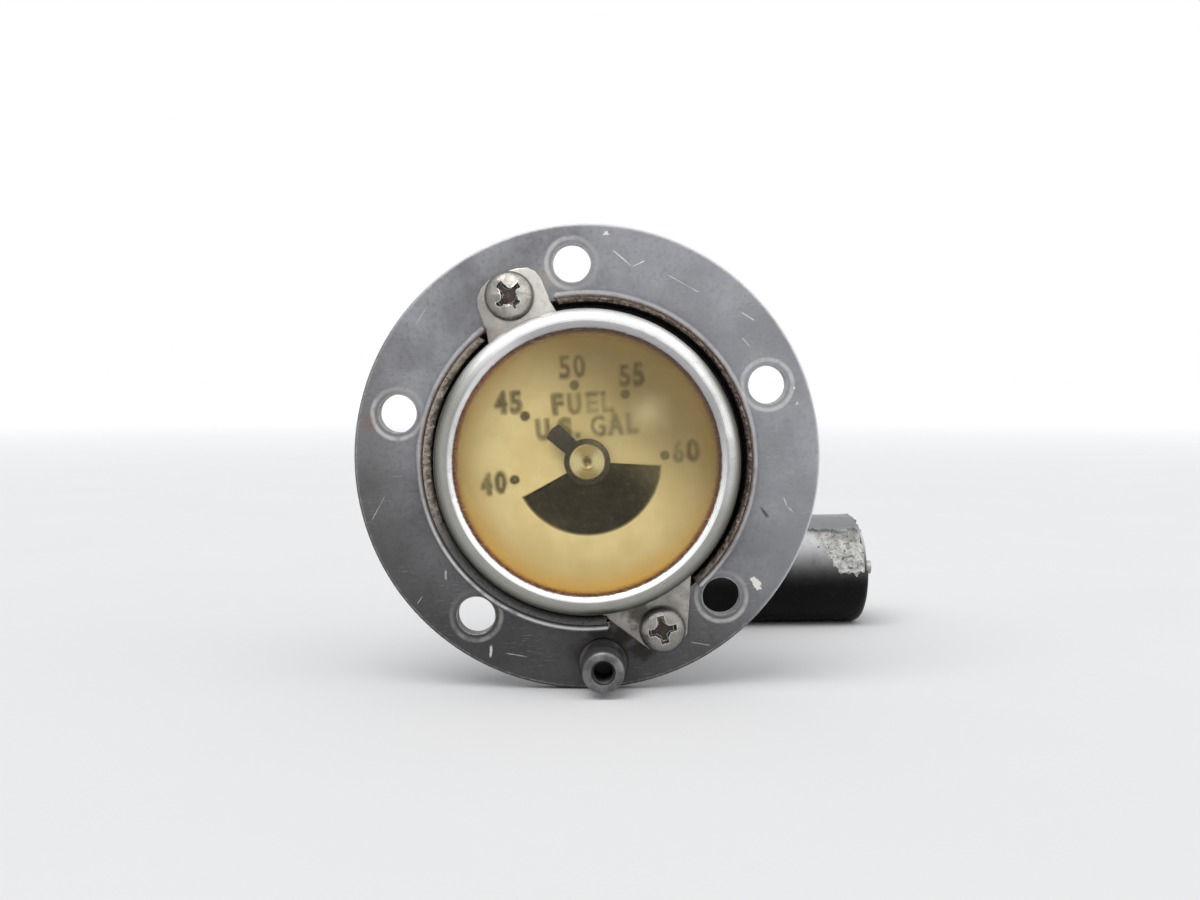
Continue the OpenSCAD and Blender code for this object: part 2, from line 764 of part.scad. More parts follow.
// Straight bevel teeth at the given angles, all their edges running to the shared apex
module bevel_teeth(angles, cone, outline) {
    for (a = angles) rotate([0, 0, a]) rotate([0, cone, 0]) translate([0, 0, cone_len - face_w])
        linear_extrude(height = face_w, scale = 1 / taper) polygon(taper * outline);
}

module pinion() {
    bottom = wheel_addendum + root_gap;
    root_in = cone_point(pinion_cone, -bottom, taper);
    root_out = cone_point(pinion_cone, -bottom, 1);
    hub_low = root_out.y + pinion_edge;
    hub_high = pivot_y - pinion_front;
    outline = tooth_outline(pinion_pitch_r, pinion_cone, pinion_tooth_t,
        pinion_addendum, bottom + pinion_tooth_sink);
    color("goldenrod") translate([0, pivot_y, 0]) facing() difference() {
        union() {
            rotate_extrude() polygon([
                [0, root_in.y], root_in, root_out, [root_out.x - pinion_edge, hub_low],
                [pinion_hub_r, hub_low], [pinion_hub_r, hub_high], [0, hub_high]
            ]);
            bevel_teeth([for (k = [1 : pinion_teeth]) k * 360 / pinion_teeth], pinion_cone, outline);
        }
        cylinder(r = shaft_r, h = through);
        translate([0, 0, hub_high - pin_hole_at]) rotate([90, 0, 0])
            cylinder(r = pin_hole_r, h = through, center = true);
    }
}

module pinion_pin() {
    color("lightsteelblue") behind() translate([0, 0, pinion_front + pin_hole_at]) rotate([90, 0, 0])
        cylinder(r = pin_hole_r, h = 2 * (pinion_hub_r - pin_sunk), center = true);
}

// Puts children on the arm's wire, at the pivot: x along the wire, z along the pivot
module on_arm() {
    rotate([0, 0, -arm_rest]) translate([0, 0, wire_x]) children();
}

// The slot round the stop pin: an arc about the pivot with round ends
module stop_slot() {
    low = 180 - arm_up - stop_over;
    sweep = arm_up + arm_down + 2 * stop_over;
    translate([0, 0, web_front - past]) {
        rotate([0, 0, low]) rotate_extrude(angle = sweep)
            translate([stop_radius - stop_slot_r, 0]) square([2 * stop_slot_r, web_t + 2 * past]);
        for (a = [low, low + sweep]) rotate([0, 0, a]) translate([stop_radius, 0, 0])
            cylinder(r = stop_slot_r + slot_end_swell, h = web_t + 2 * past);
    }
}

module sector_gear() {
    bottom = pinion_addendum + root_gap;
    root_in = cone_point(wheel_cone, -bottom, taper);
    root_out = cone_point(wheel_cone, -bottom, 1);
    rim_r = root_in.x - rim_lap;
    rim_back = web_back - rim_inset;
    step = 360 / wheel_teeth;
    half_count = floor(sector_angle / 2 / step);
    phase = 180 + step / 2;
    middle = round((sector_mid - phase) / step);
    outline = tooth_outline(wheel_pitch_r, wheel_cone, wheel_tooth_t,
        wheel_addendum, bottom + wheel_tooth_sink);
    color("goldenrod") on_pivot() difference() {
        union() {
            ring(arm_hub_r, 0, -hub_end, hub_end);
            ring(root_in.x, 0, web_front, web_back);
            rotate([0, 0, sector_mid - sector_angle / 2]) rotate_extrude(angle = sector_angle) polygon([
                [rim_r, web_front + rim_lap], root_in, root_out,
                [root_out.x - rim_edge, rim_back], [rim_r, rim_back]
            ]);
            bevel_teeth([for (k = [-half_count : half_count]) phase + (middle + k) * step],
                wheel_cone, outline);
            on_arm() rotate([0, 90, 0]) cylinder(r = socket_r, h = socket_len);
        }
        translate([0, 0, -through]) cylinder(r = hub_bore_r, h = 2 * through);
        stop_slot();
        on_arm() {
            translate([wire_root, 0, 0]) rotate([0, 90, 0]) cylinder(r = wire_r, h = through);
            translate([wire_screw_at, 0, -2 * socket_r]) cylinder(r = wire_screw_r, h = 2 * socket_r);
        }
    }
}

// The bend is a hair thicker than the wire, and the two straight legs run a little way into it
module float_wire() {
    leg = float_end + end_float + nut_t + wire_past_nut;
    color("lightsteelblue") {
        on_pivot() on_arm() {
            translate([wire_root, 0, 0]) rotate([0, 90, 0])
                cylinder(r = wire_r, h = arm_len - bend_run - wire_root + bend_lap);
            translate([arm_len - bend_run, 0, bend_r]) rotate([90, 0, 0]) rotate([0, 0, -90])
                rotate_extrude(angle = 90 - bend_short)
                    translate([bend_r, 0]) circle(r = wire_r + bend_swell);
        }
        on_float_line() translate([0, 0, bend_run - bend_lap])
            cylinder(r = wire_r, h = leg - bend_run + bend_lap);
    }
}

module wire_screw() {
    head = -socket_r - wire_screw_proud;
    color("slategray") on_pivot() on_arm() translate([wire_screw_at, 0, 0]) difference() {
        translate([0, 0, head]) cylinder(r = wire_screw_r, h = -wire_r - head);
        translate([-2 * wire_screw_r, -wire_slot_w / 2, head - wire_slot_depth])
            cube([4 * wire_screw_r, wire_slot_w, 2 * wire_slot_depth]);
    }
}

module float_nuts() {
    color("silver") on_float_line() for (low = [float_start - end_float - nut_t, float_end + end_float])
        ring(nut_r, wire_r, low, low + nut_t);
}

module float() {
    r = float_d / 2;
    bore_r = wire_r + running_fit;
    corner = [for (k = [0 : corner_steps]) let (a = 90 * k / corner_steps)
        [r - float_round + float_round * cos(a), float_round * sin(a)]];
    color([0.08, 0.08, 0.09]) on_float_line() difference() {
        translate([0, 0, float_start]) rotate_extrude() polygon(concat(
            [[bore_r, 0]],
            [for (k = [corner_steps : -1 : 0]) [corner[k].x, float_round - corner[k].y]],
            [for (k = [0 : corner_steps]) [corner[k].x, float_len - float_round + corner[k].y]],
            [[bore_r, float_len]]
        ));
        rotate([0, 0, tear_angle]) translate([r - tear_depth + tear_r, 0, float_end - tear_inset])
            sphere(r = tear_r);
    }
}

head_casting();
cover_post();
dial_case();
bezel();
lens();
lens_seal();
dial_plate();
dial_screws();
dial_pivot();
pointer();
pointer_hub();
pointer_magnet();
support_yoke();
yoke_screws();
shaft_bush();
pivot_pin();
pivot_clips();
stop_pin();
centre_shaft();
magnet_carrier();
drive_magnet();
thrust_washer();
pinion();
pinion_pin();
sector_gear();
float_wire();
wire_screw();
float_nuts();
float();
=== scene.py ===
# Looks of a direct-reading float fuel gauge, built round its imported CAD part.
# Sizes are in millimetres, turned into metres when a mesh is finished. The dial faces -Y.
import bpy
import bmesh
import math
from mathutils import Matrix, Vector, noise
from mathutils.bvhtree import BVHTree


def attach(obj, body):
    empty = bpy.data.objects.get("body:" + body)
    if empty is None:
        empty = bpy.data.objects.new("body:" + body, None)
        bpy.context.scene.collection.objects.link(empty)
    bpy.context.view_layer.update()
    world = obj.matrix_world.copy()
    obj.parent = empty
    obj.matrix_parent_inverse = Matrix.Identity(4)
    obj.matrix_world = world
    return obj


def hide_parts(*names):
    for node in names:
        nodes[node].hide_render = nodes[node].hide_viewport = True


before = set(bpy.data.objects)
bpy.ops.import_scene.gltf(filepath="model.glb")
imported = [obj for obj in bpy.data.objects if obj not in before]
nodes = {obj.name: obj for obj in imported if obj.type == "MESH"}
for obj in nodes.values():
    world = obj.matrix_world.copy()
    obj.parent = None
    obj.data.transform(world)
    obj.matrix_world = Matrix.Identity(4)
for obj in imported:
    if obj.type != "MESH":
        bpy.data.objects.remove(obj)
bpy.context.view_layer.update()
scene = bpy.context.scene
scene.view_settings.view_transform = "Standard"

# Camera. The gauge lies rolled by 4.5 degrees on its float and its flange's rim, so the level
# camera and floor are turned by that about the dial's axis.
MM = 0.001
ROLL = Matrix.Rotation(math.radians(4.5), 4, "Y")
CAMERA_AT = Vector((1.806, -223, 11.61)) * MM
CAMERA_DIP = 2.75
FOCAL_PIXELS = 1584
IMAGE_WIDTH = 1200
SENSOR = 36
camera_data = bpy.data.cameras.new("camera")
camera_data.sensor_width = SENSOR
camera_data.lens = SENSOR * FOCAL_PIXELS / IMAGE_WIDTH
camera_data.clip_start = 0.01
camera = bpy.data.objects.new("camera", camera_data)
scene.collection.objects.link(camera)
level = Matrix.Rotation(math.radians(90 - CAMERA_DIP), 4, "X")
camera.matrix_world = ROLL @ Matrix.Translation(CAMERA_AT) @ level
scene.camera = camera

# Floor. A plain pale sheet, level in the photograph's frame. Its finish is the first one, so the
# class that writes finishes stands here.
FLOOR_DROP = -32.5
FLOOR_HALF = 6000
FADE_FROM, FADE_TO = 350, 2000


def rgb(r, g, b):
    """A colour as a picture shows it, 0 to 255, turned into the shader's linear one."""
    return tuple(((c / 255 + 0.055) / 1.055) ** 2.4 if c > 10 else c / 255 / 12.92 for c in (r, g, b)) + (1,)


class Sock:
    """A shader socket that maths is written with."""

    def __init__(self, finish, out):
        self.finish, self.out = finish, out

    def __add__(self, other):
        return self.finish.maths("ADD", self, other)

    def __sub__(self, other):
        return self.finish.maths("SUBTRACT", self, other)

    def __rsub__(self, other):
        return self.finish.maths("SUBTRACT", other, self)

    def __mul__(self, other):
        return self.finish.maths("MULTIPLY", self, other)

    __radd__ = __add__
    __rmul__ = __mul__


class Finish:
    """One procedural material: a Principled shader on Object coordinates in millimetres."""

    def __init__(self, name, **fixed):
        self.mat = bpy.data.materials.new(name)
        self.mat.use_nodes = True
        self.tree = self.mat.node_tree
        self.tree.nodes.clear()
        self.shader = self.tree.nodes.new("ShaderNodeBsdfPrincipled")
        end = self.tree.nodes.new("ShaderNodeOutputMaterial")
        self.tree.links.new(self.shader.outputs[0], end.inputs["Surface"])
        self.set(**fixed)
        place = self.node("ShaderNodeTexCoord", out="Object")
        self.place = self.node("ShaderNodeVectorMath", {"operation": "SCALE"}, {0: place, "Scale": 1 / MM})

    def node(self, kind, settings=None, inputs=None, out=0):
        """Any node: its settings are set first, then its sockets' values and links."""
        made = self.tree.nodes.new(kind)
        for key, value in (settings or {}).items():
            setattr(made, key, value)
        for key, value in (inputs or {}).items():
            if isinstance(value, Sock):
                self.tree.links.new(value.out, made.inputs[key])
            else:
                made.inputs[key].default_value = value
        return Sock(self, made.outputs[out])

    def maths(self, operation, *values):
        return self.node("ShaderNodeMath", {"operation": operation}, dict(enumerate(values)))

    def set(self, **values):
        """Values or links of the shader's own sockets, spaces written as underscores."""
        for key, value in values.items():
            socket = self.shader.inputs[key.replace("_", " ")]
            if isinstance(value, Sock):
                self.tree.links.new(value.out, socket)
            else:
                socket.default_value = value

    def mix(self, factor, low, high):
        """A colour between two colours."""
        return self.node("ShaderNodeMix", {"data_type": "RGBA"}, {0: factor, 6: low, 7: high}, 2)

    def ground(self, mask, low, high):
        """Starts the base colour as a blend of two, given as a picture shows them."""
        self.tone = rgb(*low)
        self.coat(mask, high)

    def coat(self, mask, colour):
        """Lays a colour over the base colour where the mask says."""
        self.tone = self.mix(mask, self.tone, colour if isinstance(colour, Sock) else rgb(*colour))
        self.set(Base_Color=self.tone)

    def between(self, value, low, high, start=0.0, end=1.0):
        """A smooth step of value from low to high, scaled to run from start to end."""
        return self.node("ShaderNodeMapRange", {"interpolation_type": "SMOOTHSTEP"},
                         {0: value, 1: low, 2: high, 3: start, 4: end})

    def noise(self, scale, detail=3.0, rough=0.55, place=None):
        return self.node("ShaderNodeTexNoise", None, {
            "Vector": place or self.place, "Scale": scale, "Detail": detail, "Roughness": rough})

    def rings(self, far, close, detail):
        """Fine rings round an axis that is far away, as a lathe leaves them."""
        return self.node("ShaderNodeTexNoise", {"noise_dimensions": "1D"},
                         {"W": far * close, "Scale": 1.0, "Detail": detail})

    def turned(self, turn=(0, 0, 0), stretch=(1, 1, 1), shift=(0, 0, 0)):
        """The place, turned in degrees and stretched, for patterns with a direction."""
        return self.node("ShaderNodeMapping", None, {
            "Vector": self.place, "Location": shift,
            "Rotation": tuple(math.radians(t) for t in turn), "Scale": stretch})

    def axis(self, name):
        """One part of the place: X is to the right, Y to the back and Z up."""
        return self.node("ShaderNodeSeparateXYZ", None, {0: self.place}, name)

    def radius(self, x=0.0, z=0.0):
        """Distance from a line along Y through x and z."""
        ends = {0: self.turned(stretch=(1, 0, 1)), 1: (x, 0, z)}
        return self.node("ShaderNodeVectorMath", {"operation": "DISTANCE"}, ends, "Value")

    def edge(self, width):
        """One where the surface turns within width of an edge, and nought on flats."""
        soft = self.node("ShaderNodeBevel", {"samples": 4}, {"Radius": width * MM})
        hard = self.node("ShaderNodeNewGeometry", out="Normal")
        dot = self.node("ShaderNodeVectorMath", {"operation": "DOT_PRODUCT"}, {0: soft, 1: hard}, "Value")
        return self.between(1 - dot, 0.02, 0.16)

    def bump(self, height, depth, edge=0.0):
        """Bumps of the given depth in millimetres, over edges rounded by edge millimetres."""
        inputs = {"Height": height, "Distance": depth * MM}
        if edge:
            inputs["Normal"] = self.node("ShaderNodeBevel", {"samples": 4}, {"Radius": edge * MM})
        self.set(Normal=self.node("ShaderNodeBump", None, inputs))


floor_mesh = bpy.data.meshes.new("floor")
floor_shape = bmesh.new()
bmesh.ops.create_grid(floor_shape, x_segments=1, y_segments=1, size=FLOOR_HALF)
floor_shape.transform(Matrix.Scale(MM, 4) @ ROLL @ Matrix.Translation((0, 0, FLOOR_DROP)))
floor_shape.to_mesh(floor_mesh)
floor_shape.free()
floor = bpy.data.objects.new("floor", floor_mesh)
scene.collection.objects.link(floor)
pale = Finish("pale_floor", Roughness=0.9, Specular_IOR_Level=0.05)
pale.set(Base_Color=pale.mix(pale.noise(0.02, 2), (0.86, 0.86, 0.86, 1), (0.89, 0.89, 0.89, 1)))
distance = pale.node("ShaderNodeVectorMath", {"operation": "LENGTH"}, {0: pale.place}, "Value")
fade = pale.between(distance, FADE_FROM, FADE_TO)
pale.set(Emission_Color=pale.mix(fade, (0, 0, 0, 1), (0.3, 0.3, 0.3, 1)), Emission_Strength=1)
floor_mesh.materials.append(pale.mat)

# Light. Two wide soft lamps, far off so that the floor is lit evenly, in a world that is grey to
# the object and white to the camera and in reflections.
world = bpy.data.worlds.new("studio")
scene.world = world
world.use_nodes = True
sky = world.node_tree
sky.nodes.clear()
path, seen, seen_through, grey, white, either, sky_out = (sky.nodes.new("ShaderNode" + kind) for kind in (
    "LightPath", "Math", "Math", "Background", "Background", "MixShader", "OutputWorld"))
seen.operation = seen_through.operation = "MAXIMUM"
grey.inputs["Color"].default_value = (0.5, 0.51, 0.53, 1)
white.inputs["Color"].default_value = (1, 1, 1, 1)
for out, into in ((path.outputs["Is Camera Ray"], seen.inputs[0]),
                  (path.outputs["Is Glossy Ray"], seen.inputs[1]), (seen.outputs[0], seen_through.inputs[0]),
                  (path.outputs["Is Transmission Ray"], seen_through.inputs[1]),
                  (seen_through.outputs[0], either.inputs[0]), (grey.outputs[0], either.inputs[1]),
                  (white.outputs[0], either.inputs[2]), (either.outputs[0], sky_out.inputs["Surface"])):
    sky.links.new(out, into)


def lamp(name, towards, power, spread):
    """A far lamp as wide as spread degrees in the sky, shining from the direction towards."""
    data = bpy.data.lights.new(name, "SUN")
    data.energy = power
    data.angle = math.radians(spread)
    one = bpy.data.objects.new(name, data)
    scene.collection.objects.link(one)
    one.matrix_world = ROLL @ Vector(towards).to_track_quat("Z", "Y").to_matrix().to_4x4()


lamp("key_lamp", (-0.35, -0.6, 1), 1.35, 50)
lamp("side_lamp", (0.8, -0.5, 0.7), 0.5, 70)

# Head casting. A round flange with five screw holes, a raised lip round the dial, and a boss and
# stem behind it: die-cast aluminium, faced on a lathe, gone dull, stained and scratched.
DIAL_DROP = -0.5
FLANGE_FACE = -3
# each hole: x and z, how bright the worn ring round it is, and which side of the ring is brightest
HOLES = [((0, 27), 0.6, (-1, 0.2)), ((-25.75, 8.12), 0.7, (-0.6, -0.8)), ((25.75, 8.12), 0.9, (0, 0)),
         ((-17.17, -20.83), 0.35, (0.5, -0.8)), ((17.17, -20.83), 0.6, (0, -1))]
# each scratch: x and z of both its ends, half its width, and its strength, below nought if dark
STROKES = [(5.8, 28.4, 8.3, 25.9, 0.13, 1), (8.3, 25.9, 10.2, 26.6, 0.1, 1),
           (13.1, 24.4, 17.3, 21.6, 0.09, 0.8), (22.8, 18.5, 24.7, 17.1, 0.12, 0.9),
           (22.7, 15.0, 23.8, 13.5, 0.1, 0.9), (26.8, -7.6, 27.3, -9.0, 0.1, 1),
           (27.3, -9.0, 28.1, -9.9, 0.09, 1), (23.4, -8.7, 24.6, -10.4, 0.28, -1),
           (-28.5, -3.2, -30.6, -6.4, 0.08, 0.6), (-10.4, -27.2, -13.6, -26.4, 0.1, 0.5),
           (-22.2, 20.3, -20.4, 22.6, 0.08, 0.6), (12.4, -26.9, 15.2, -27.6, 0.08, 0.5),
           (-21.0, -15.6, -20.9, -14.1, 0.2, 1), (-15.7, -26.9, -15.4, -25.1, 0.24, 1),
           (-25.3, -18.6, -24.4, -17.5, 0.08, 0.6)]
# each speck and stain: x, z and radius, a stain's colour, and its strength; the dark stains round the cover
# post are partly dirt and partly painted shadow of the post and the lower ear
SPECKS = [(5.06, 30.75, 0.42, 1), (29.4, 7.37, 0.3, 0.8), (29.66, 5.26, 0.26, 0.7)]
STAINS_AND_SHADE = [(-29.9, 7.3, 1.6, (126, 100, 84), 0.5), (-4.3, 24.8, 2.4, (164, 156, 124), 0.34),
          (-8.6, 22.2, 3.0, (172, 166, 146), 0.3), (2.6, -25.6, 3.0, (40, 36, 31), 0.92),
          (5.6, -27.2, 2.6, (42, 38, 33), 0.88), (0.0, -25.0, 2.2, (44, 40, 35), 0.85),
          (-2.6, -27.4, 2.4, (50, 46, 40), 0.7), (9.5, -22.0, 3.4, (84, 76, 60), 0.6)]
PAINT = (22.2, -19.4)


def dress(finish, *names):
    """Gives CAD nodes their finish, in the slots that they have."""
    for name in names:
        for one in nodes[name].material_slots:
            one.material = finish.mat


def cast_grain(finish, dark, pale_tone, speck):
    """Uneven dull metal: broad clouds, fine mottle and small dark pits, with heights for the bump."""
    cloud = finish.noise(0.09, 4, 0.6)
    fine = finish.noise(1.6, 4, 0.6)
    finish.ground(finish.between(cloud, 0.34, 0.66), dark, pale_tone)
    finish.coat(finish.between(fine, 0.5, 0.72, 0, 0.35), speck)
    pits = finish.between(finish.noise(2.6, 1, 0.4, finish.turned(shift=(7, 3, 2))), 0.7, 0.76)
    finish.coat(pits * 0.5, speck)
    return fine, pits


casting = Finish("cast_aluminium_face")
fine, pits = cast_grain(casting, (118, 118, 121), (150, 151, 155), (94, 91, 88))
right, back, up = map(casting.axis, "XYZ")
step = casting.between
cloudy = casting.noise(0.05, 3)
# Painted shade: the flange's face is darker towards the bottom and the lower left.
shaded_low_side = step(up + right * 0.3 + cloudy * 10, 10, -26)
casting.coat(shaded_low_side * 0.85, (57, 55, 54))
# Painted light: the right side of the flange is lighter.
lit_right_side = step(right + up * 0.3, 6, 26)
casting.coat(lit_right_side * 0.35, (170, 172, 177))
# Painted shade: the left side of the flange is darker.
shaded_left_side = step(right + cloudy * 4, -20, -29)
casting.coat(shaded_left_side * 0.5, (88, 85, 84))
# Painted highlight: a bright line along the flange's outer edge at the upper right.
rim = step(casting.radius(), 32.1, 32.3) * step(up + right, -10, 15)
casting.coat(rim * 0.8, (226, 226, 228))
marks = 0
for turn, scale, low in ((18, 0.35, 0.69), (-41, 0.5, 0.7), (74, 0.42, 0.69), (-78, 0.3, 0.68)):
    lines = casting.noise(scale, 2, 0.45, casting.turned((0, turn, 0), (1, 1, 22), (turn, 0, 0)))
    marks = casting.maths("MAXIMUM", marks, step(lines, low, low + 0.04))
marks = marks * step(casting.noise(0.16, 2), 0.42, 0.6)
casting.coat(marks * 0.3, (190, 191, 193))
on_face = step(back, FLANGE_FACE + 0.6, FLANGE_FACE + 0.1)
rings = 0
for (x, z), strength, (lean_x, lean_z) in HOLES:
    far = casting.radius(x, z)
    band = step(far, 3.05, 3.4) * step(far, 3.95, 3.6)
    lean = (right - x) * (lean_x / 3.7) + (up - z) * (lean_z / 3.7)
    rings = rings + band * step(lean, -1.1, 0.9, 0.25, 1.0) * strength
broken = step(casting.noise(0.8, 3), 0.32, 0.55, 0.45, 1.0)
casting.coat(rings * broken * on_face * 0.8, (222, 220, 214))
in_front = step(back, -0.5, -1.5)
# Stains, and painted shadow where the dark ones lie round the cover post.
for x, z, wide, colour, strength in STAINS_AND_SHADE:
    blot = casting.radius(x, z) + casting.noise(0.9, 3) * 1.6 * wide - 0.8 * wide
    casting.coat(step(blot, wide, 0.2 * wide) * in_front * strength, colour)
strokes = 0
for x0, z0, x1, z1, wide, light in STROKES:
    long = math.hypot(x1 - x0, z1 - z0)
    turn = math.atan2(z1 - z0, x1 - x0)
    along = (right - x0) * math.cos(turn) + (up - z0) * math.sin(turn)
    across = (up - z0) * math.cos(turn) - (right - x0) * math.sin(turn)
    across = casting.maths("ABSOLUTE", across + fine * wide - 0.5 * wide)
    ends = step(along, -0.1, 0.5) * step(along, long + 0.1, long - 0.5)
    stroke = step(across, wide, 0.35 * wide) * ends * on_face
    strokes = strokes + stroke
    casting.coat(stroke * broken * (abs(light) * 0.85), (222, 222, 223) if light > 0 else (62, 60, 58))
rough_place = casting.noise(2.2, 2)
for x, z, wide, strength in SPECKS:
    blot = casting.radius(x, z) + rough_place * 0.8 - 0.4
    casting.coat(step(blot, wide, wide - 0.15) * on_face * strength, (226, 222, 210))
paint_x = (right - PAINT[0]) * 1.5 + (up - PAINT[1]) * 0.5
paint_z = up - PAINT[1]
paint = casting.maths("SQRT", paint_x * paint_x + paint_z * paint_z) + casting.noise(1.5, 3) * 2.2 - 1.1
paint = step(paint, 0.95, 0.8) * on_face
casting.coat(paint * 0.95, (232, 232, 222))
dial_far = casting.radius(0, DIAL_DROP)
lip = step(back, -3.15, -3.6) * step(dial_far, 22.2, 22.6)
crumbly = step(up + right * 0.3, -20, -6)
inner_lip = lip * step(dial_far, 23.35, 22.95) * crumbly
casting.coat(inner_lip * step(fine, 0.3, 0.6, 0.4, 0.9), (112, 90, 76))
casting.coat(lip * (1 - crumbly) * 0.7, (98, 97, 99))
# Painted highlight: a bright line along the lip's crest, weaker where the lip crumbles.
crest_highlight = lip * step(dial_far, 22.95, 23.15) * step(dial_far, 23.5, 23.3)
crest_highlight = crest_highlight * step(casting.noise(0.5, 3), 0.3, 0.5, 0.35, 1.0) * (1 - crumbly * 0.55)
casting.coat(crest_highlight * 0.8, (214, 213, 212))
# Painted shade: the recess floor round the dial case is painted near black.
recess = step(dial_far, 22.75, 22.5) * step(back, -3.4, -2.6)
recess = recess * step(back, 0.3, -0.5)
casting.coat(recess * 0.92, (30, 27, 24))
worn = casting.edge(0.3)
casting.coat(worn * step(casting.noise(1.1, 3), 0.4, 0.6, 0.3, 0.85), (220, 220, 222))
casting.set(Roughness=step(fine, 0.3, 0.7, 0.36, 0.5) + recess * 0.3,
            Metallic=0.8 - paint * 0.75)
height = casting.noise(9.0, 2, 0.6) * 0.5 + fine * 0.6 + paint * 1.5
casting.bump(height - marks * 0.5 - pits * 0.8 - strokes * 1.2, 0.03, 0.15)
dress(casting, "head_casting")

# Cover post. A turned aluminium post pressed into the flange under the dial, with a shoulder at
# its foot and a tapped hole in its end for the dial cover's screw.
POST_AT = (0, -28.8)
POST_HOLE = 1.56
THREAD_PITCH, THREAD_TURNS, THREAD_STEPS = 0.5, 12, 32
THREAD_START = 4.4


def spun(outline, steps, closed=True):
    """A section of radius and height, spun round Z. An open one ends on the axis or stays a shell."""
    shape = bmesh.new()
    dots = [shape.verts.new((r, 0, h)) for r, h in outline]
    lines = [shape.edges.new(pair) for pair in zip(dots, dots[1:] + dots[:1] if closed else dots[1:])]
    bmesh.ops.spin(shape, geom=dots + lines, cent=(0, 0, 0), axis=(0, 0, 1), angle=math.tau,
                   steps=steps, use_merge=True)
    bmesh.ops.remove_doubles(shape, verts=shape.verts, dist=1e-4)
    bmesh.ops.recalc_face_normals(shape, faces=shape.faces)
    return shape


def facing(x=0.0, z=0.0, front=0.0):
    """Turns a shape with z towards the viewer into the part's frame, at x and z of the flange."""
    return Matrix.Translation((x, -front, z)) @ Matrix.Rotation(math.radians(90), 4, "X")


def piece(name, shape, place, finish, body, crease=32):
    """Makes a finished piece of a shape in millimetres, put in its place in the part's frame."""
    shape.transform(Matrix.Scale(MM, 4) @ place)
    mesh = bpy.data.meshes.new(name)
    shape.to_mesh(mesh)
    shape.free()
    mesh.materials.append(finish.mat)
    mesh.shade_smooth()
    mesh.set_sharp_from_angle(angle=math.radians(crease))
    one = bpy.data.objects.new(name, mesh)
    scene.collection.objects.link(one)
    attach(one, body)
    return one


def turned_metal(name, dark, bright, rough=(0.25, 0.4), metal=1.0, axis="Y", lines=5.0, wear=0.6,
                 depth=0.006, edge=0.08, dirt=None, dark_hole=None, dark_foot=None):
    """Machined metal: fine tool lines across an axis, soft clouds, worn bright edges and some dirt.
    A hole painted near black inside, as painted shade, is given by x, z, radius and the height where that
    painted shade starts, and a darker foot by the height where it ends."""
    finish = Finish(name, Metallic=metal)
    cloud = finish.noise(0.45, 4, 0.6)
    stretch = {"X": (lines, 0.4, 0.4), "Y": (0.4, lines, 0.4), "Z": (0.4, 0.4, lines)}[axis]
    tool = finish.noise(2.2, 3, 0.6, finish.turned(stretch=stretch))
    finish.ground(finish.between(cloud, 0.35, 0.65), dark, bright)
    finish.coat(finish.between(tool, 0.45, 0.7, 0, 0.3), dark)
    if dirt:
        soil = finish.between(finish.noise(0.9, 5, 0.7, finish.turned(shift=(3, 9, 5))), 0.52, 0.68)
        finish.coat(soil * 0.6, dirt)
    worn = finish.edge(max(0.12, 2 * edge))
    light = tuple(min(255, c + 38) for c in bright)
    finish.coat(worn * finish.between(cloud, 0.35, 0.6, 0.4, 1.0) * wear, light)
    shine = metal
    back = finish.axis("Y")
    if dark_foot:
        finish.coat(finish.between(back, dark_foot - 0.2, dark_foot + 0.3) * 0.8, (50, 46, 41))
    # Painted shade: the inside of the hole is painted near black.
    if dark_hole:
        x, z, wide, top = dark_hole
        hole_shade = finish.between(finish.radius(x, z), wide + 0.12, wide) * finish.between(back, top, top + 0.5)
        finish.coat(hole_shade * 0.97, (11, 10, 9))
        shine = metal - hole_shade * metal
    finish.set(Roughness=finish.between(tool, 0.35, 0.65, *rough), Metallic=shine)
    finish.bump(tool + finish.noise(6.0, 2) * 0.5, depth, edge)
    return finish


post_metal = turned_metal("post_aluminium", (92, 91, 92), (128, 128, 130), (0.34, 0.48), 0.8, lines=7,
                          wear=1.0, dirt=(66, 60, 54), dark_hole=(*POST_AT, 1.62, -11.6), dark_foot=-4.1)
post = spun([(0, 4.0), (POST_HOLE, 4.0), (POST_HOLE, 10.8), (1.58, 10.9), (1.62, 10.97), (1.7, 11.0),
             (2.42, 11.0), (2.62, 10.93), (2.8, 10.78), (2.88, 10.55), (2.9, 10.3), (2.9, 4.35), (2.98, 4.15),
             (3.3, 3.86), (3.42, 3.78), (3.49, 3.66), (3.5, 3.5), (3.5, 2.98), (2.02, 2.98), (1.96, 0.06),
             (0, 0.06)], 96, False)
post_piece = piece("cover_post_turned", post, facing(*POST_AT), post_metal, "housing")
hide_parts("cover_post")
thread = bmesh.new()
ridge = thread.faces.new([thread.verts.new((POST_HOLE + out, 0, h)) for out, h in (
    (0.02, 0), (-0.24, 0.2), (-0.24, 0.26), (0.02, 0.46))])
bmesh.ops.spin(thread, geom=[ridge], cent=(0, 0, 0), axis=(0, 0, 1), angle=math.tau * THREAD_TURNS,
               dvec=(0, 0, THREAD_PITCH / THREAD_STEPS), steps=THREAD_STEPS * THREAD_TURNS)
bmesh.ops.recalc_face_normals(thread, faces=thread.faces)
piece("post_thread", thread, facing(*POST_AT, front=THREAD_START), post_metal, "housing")

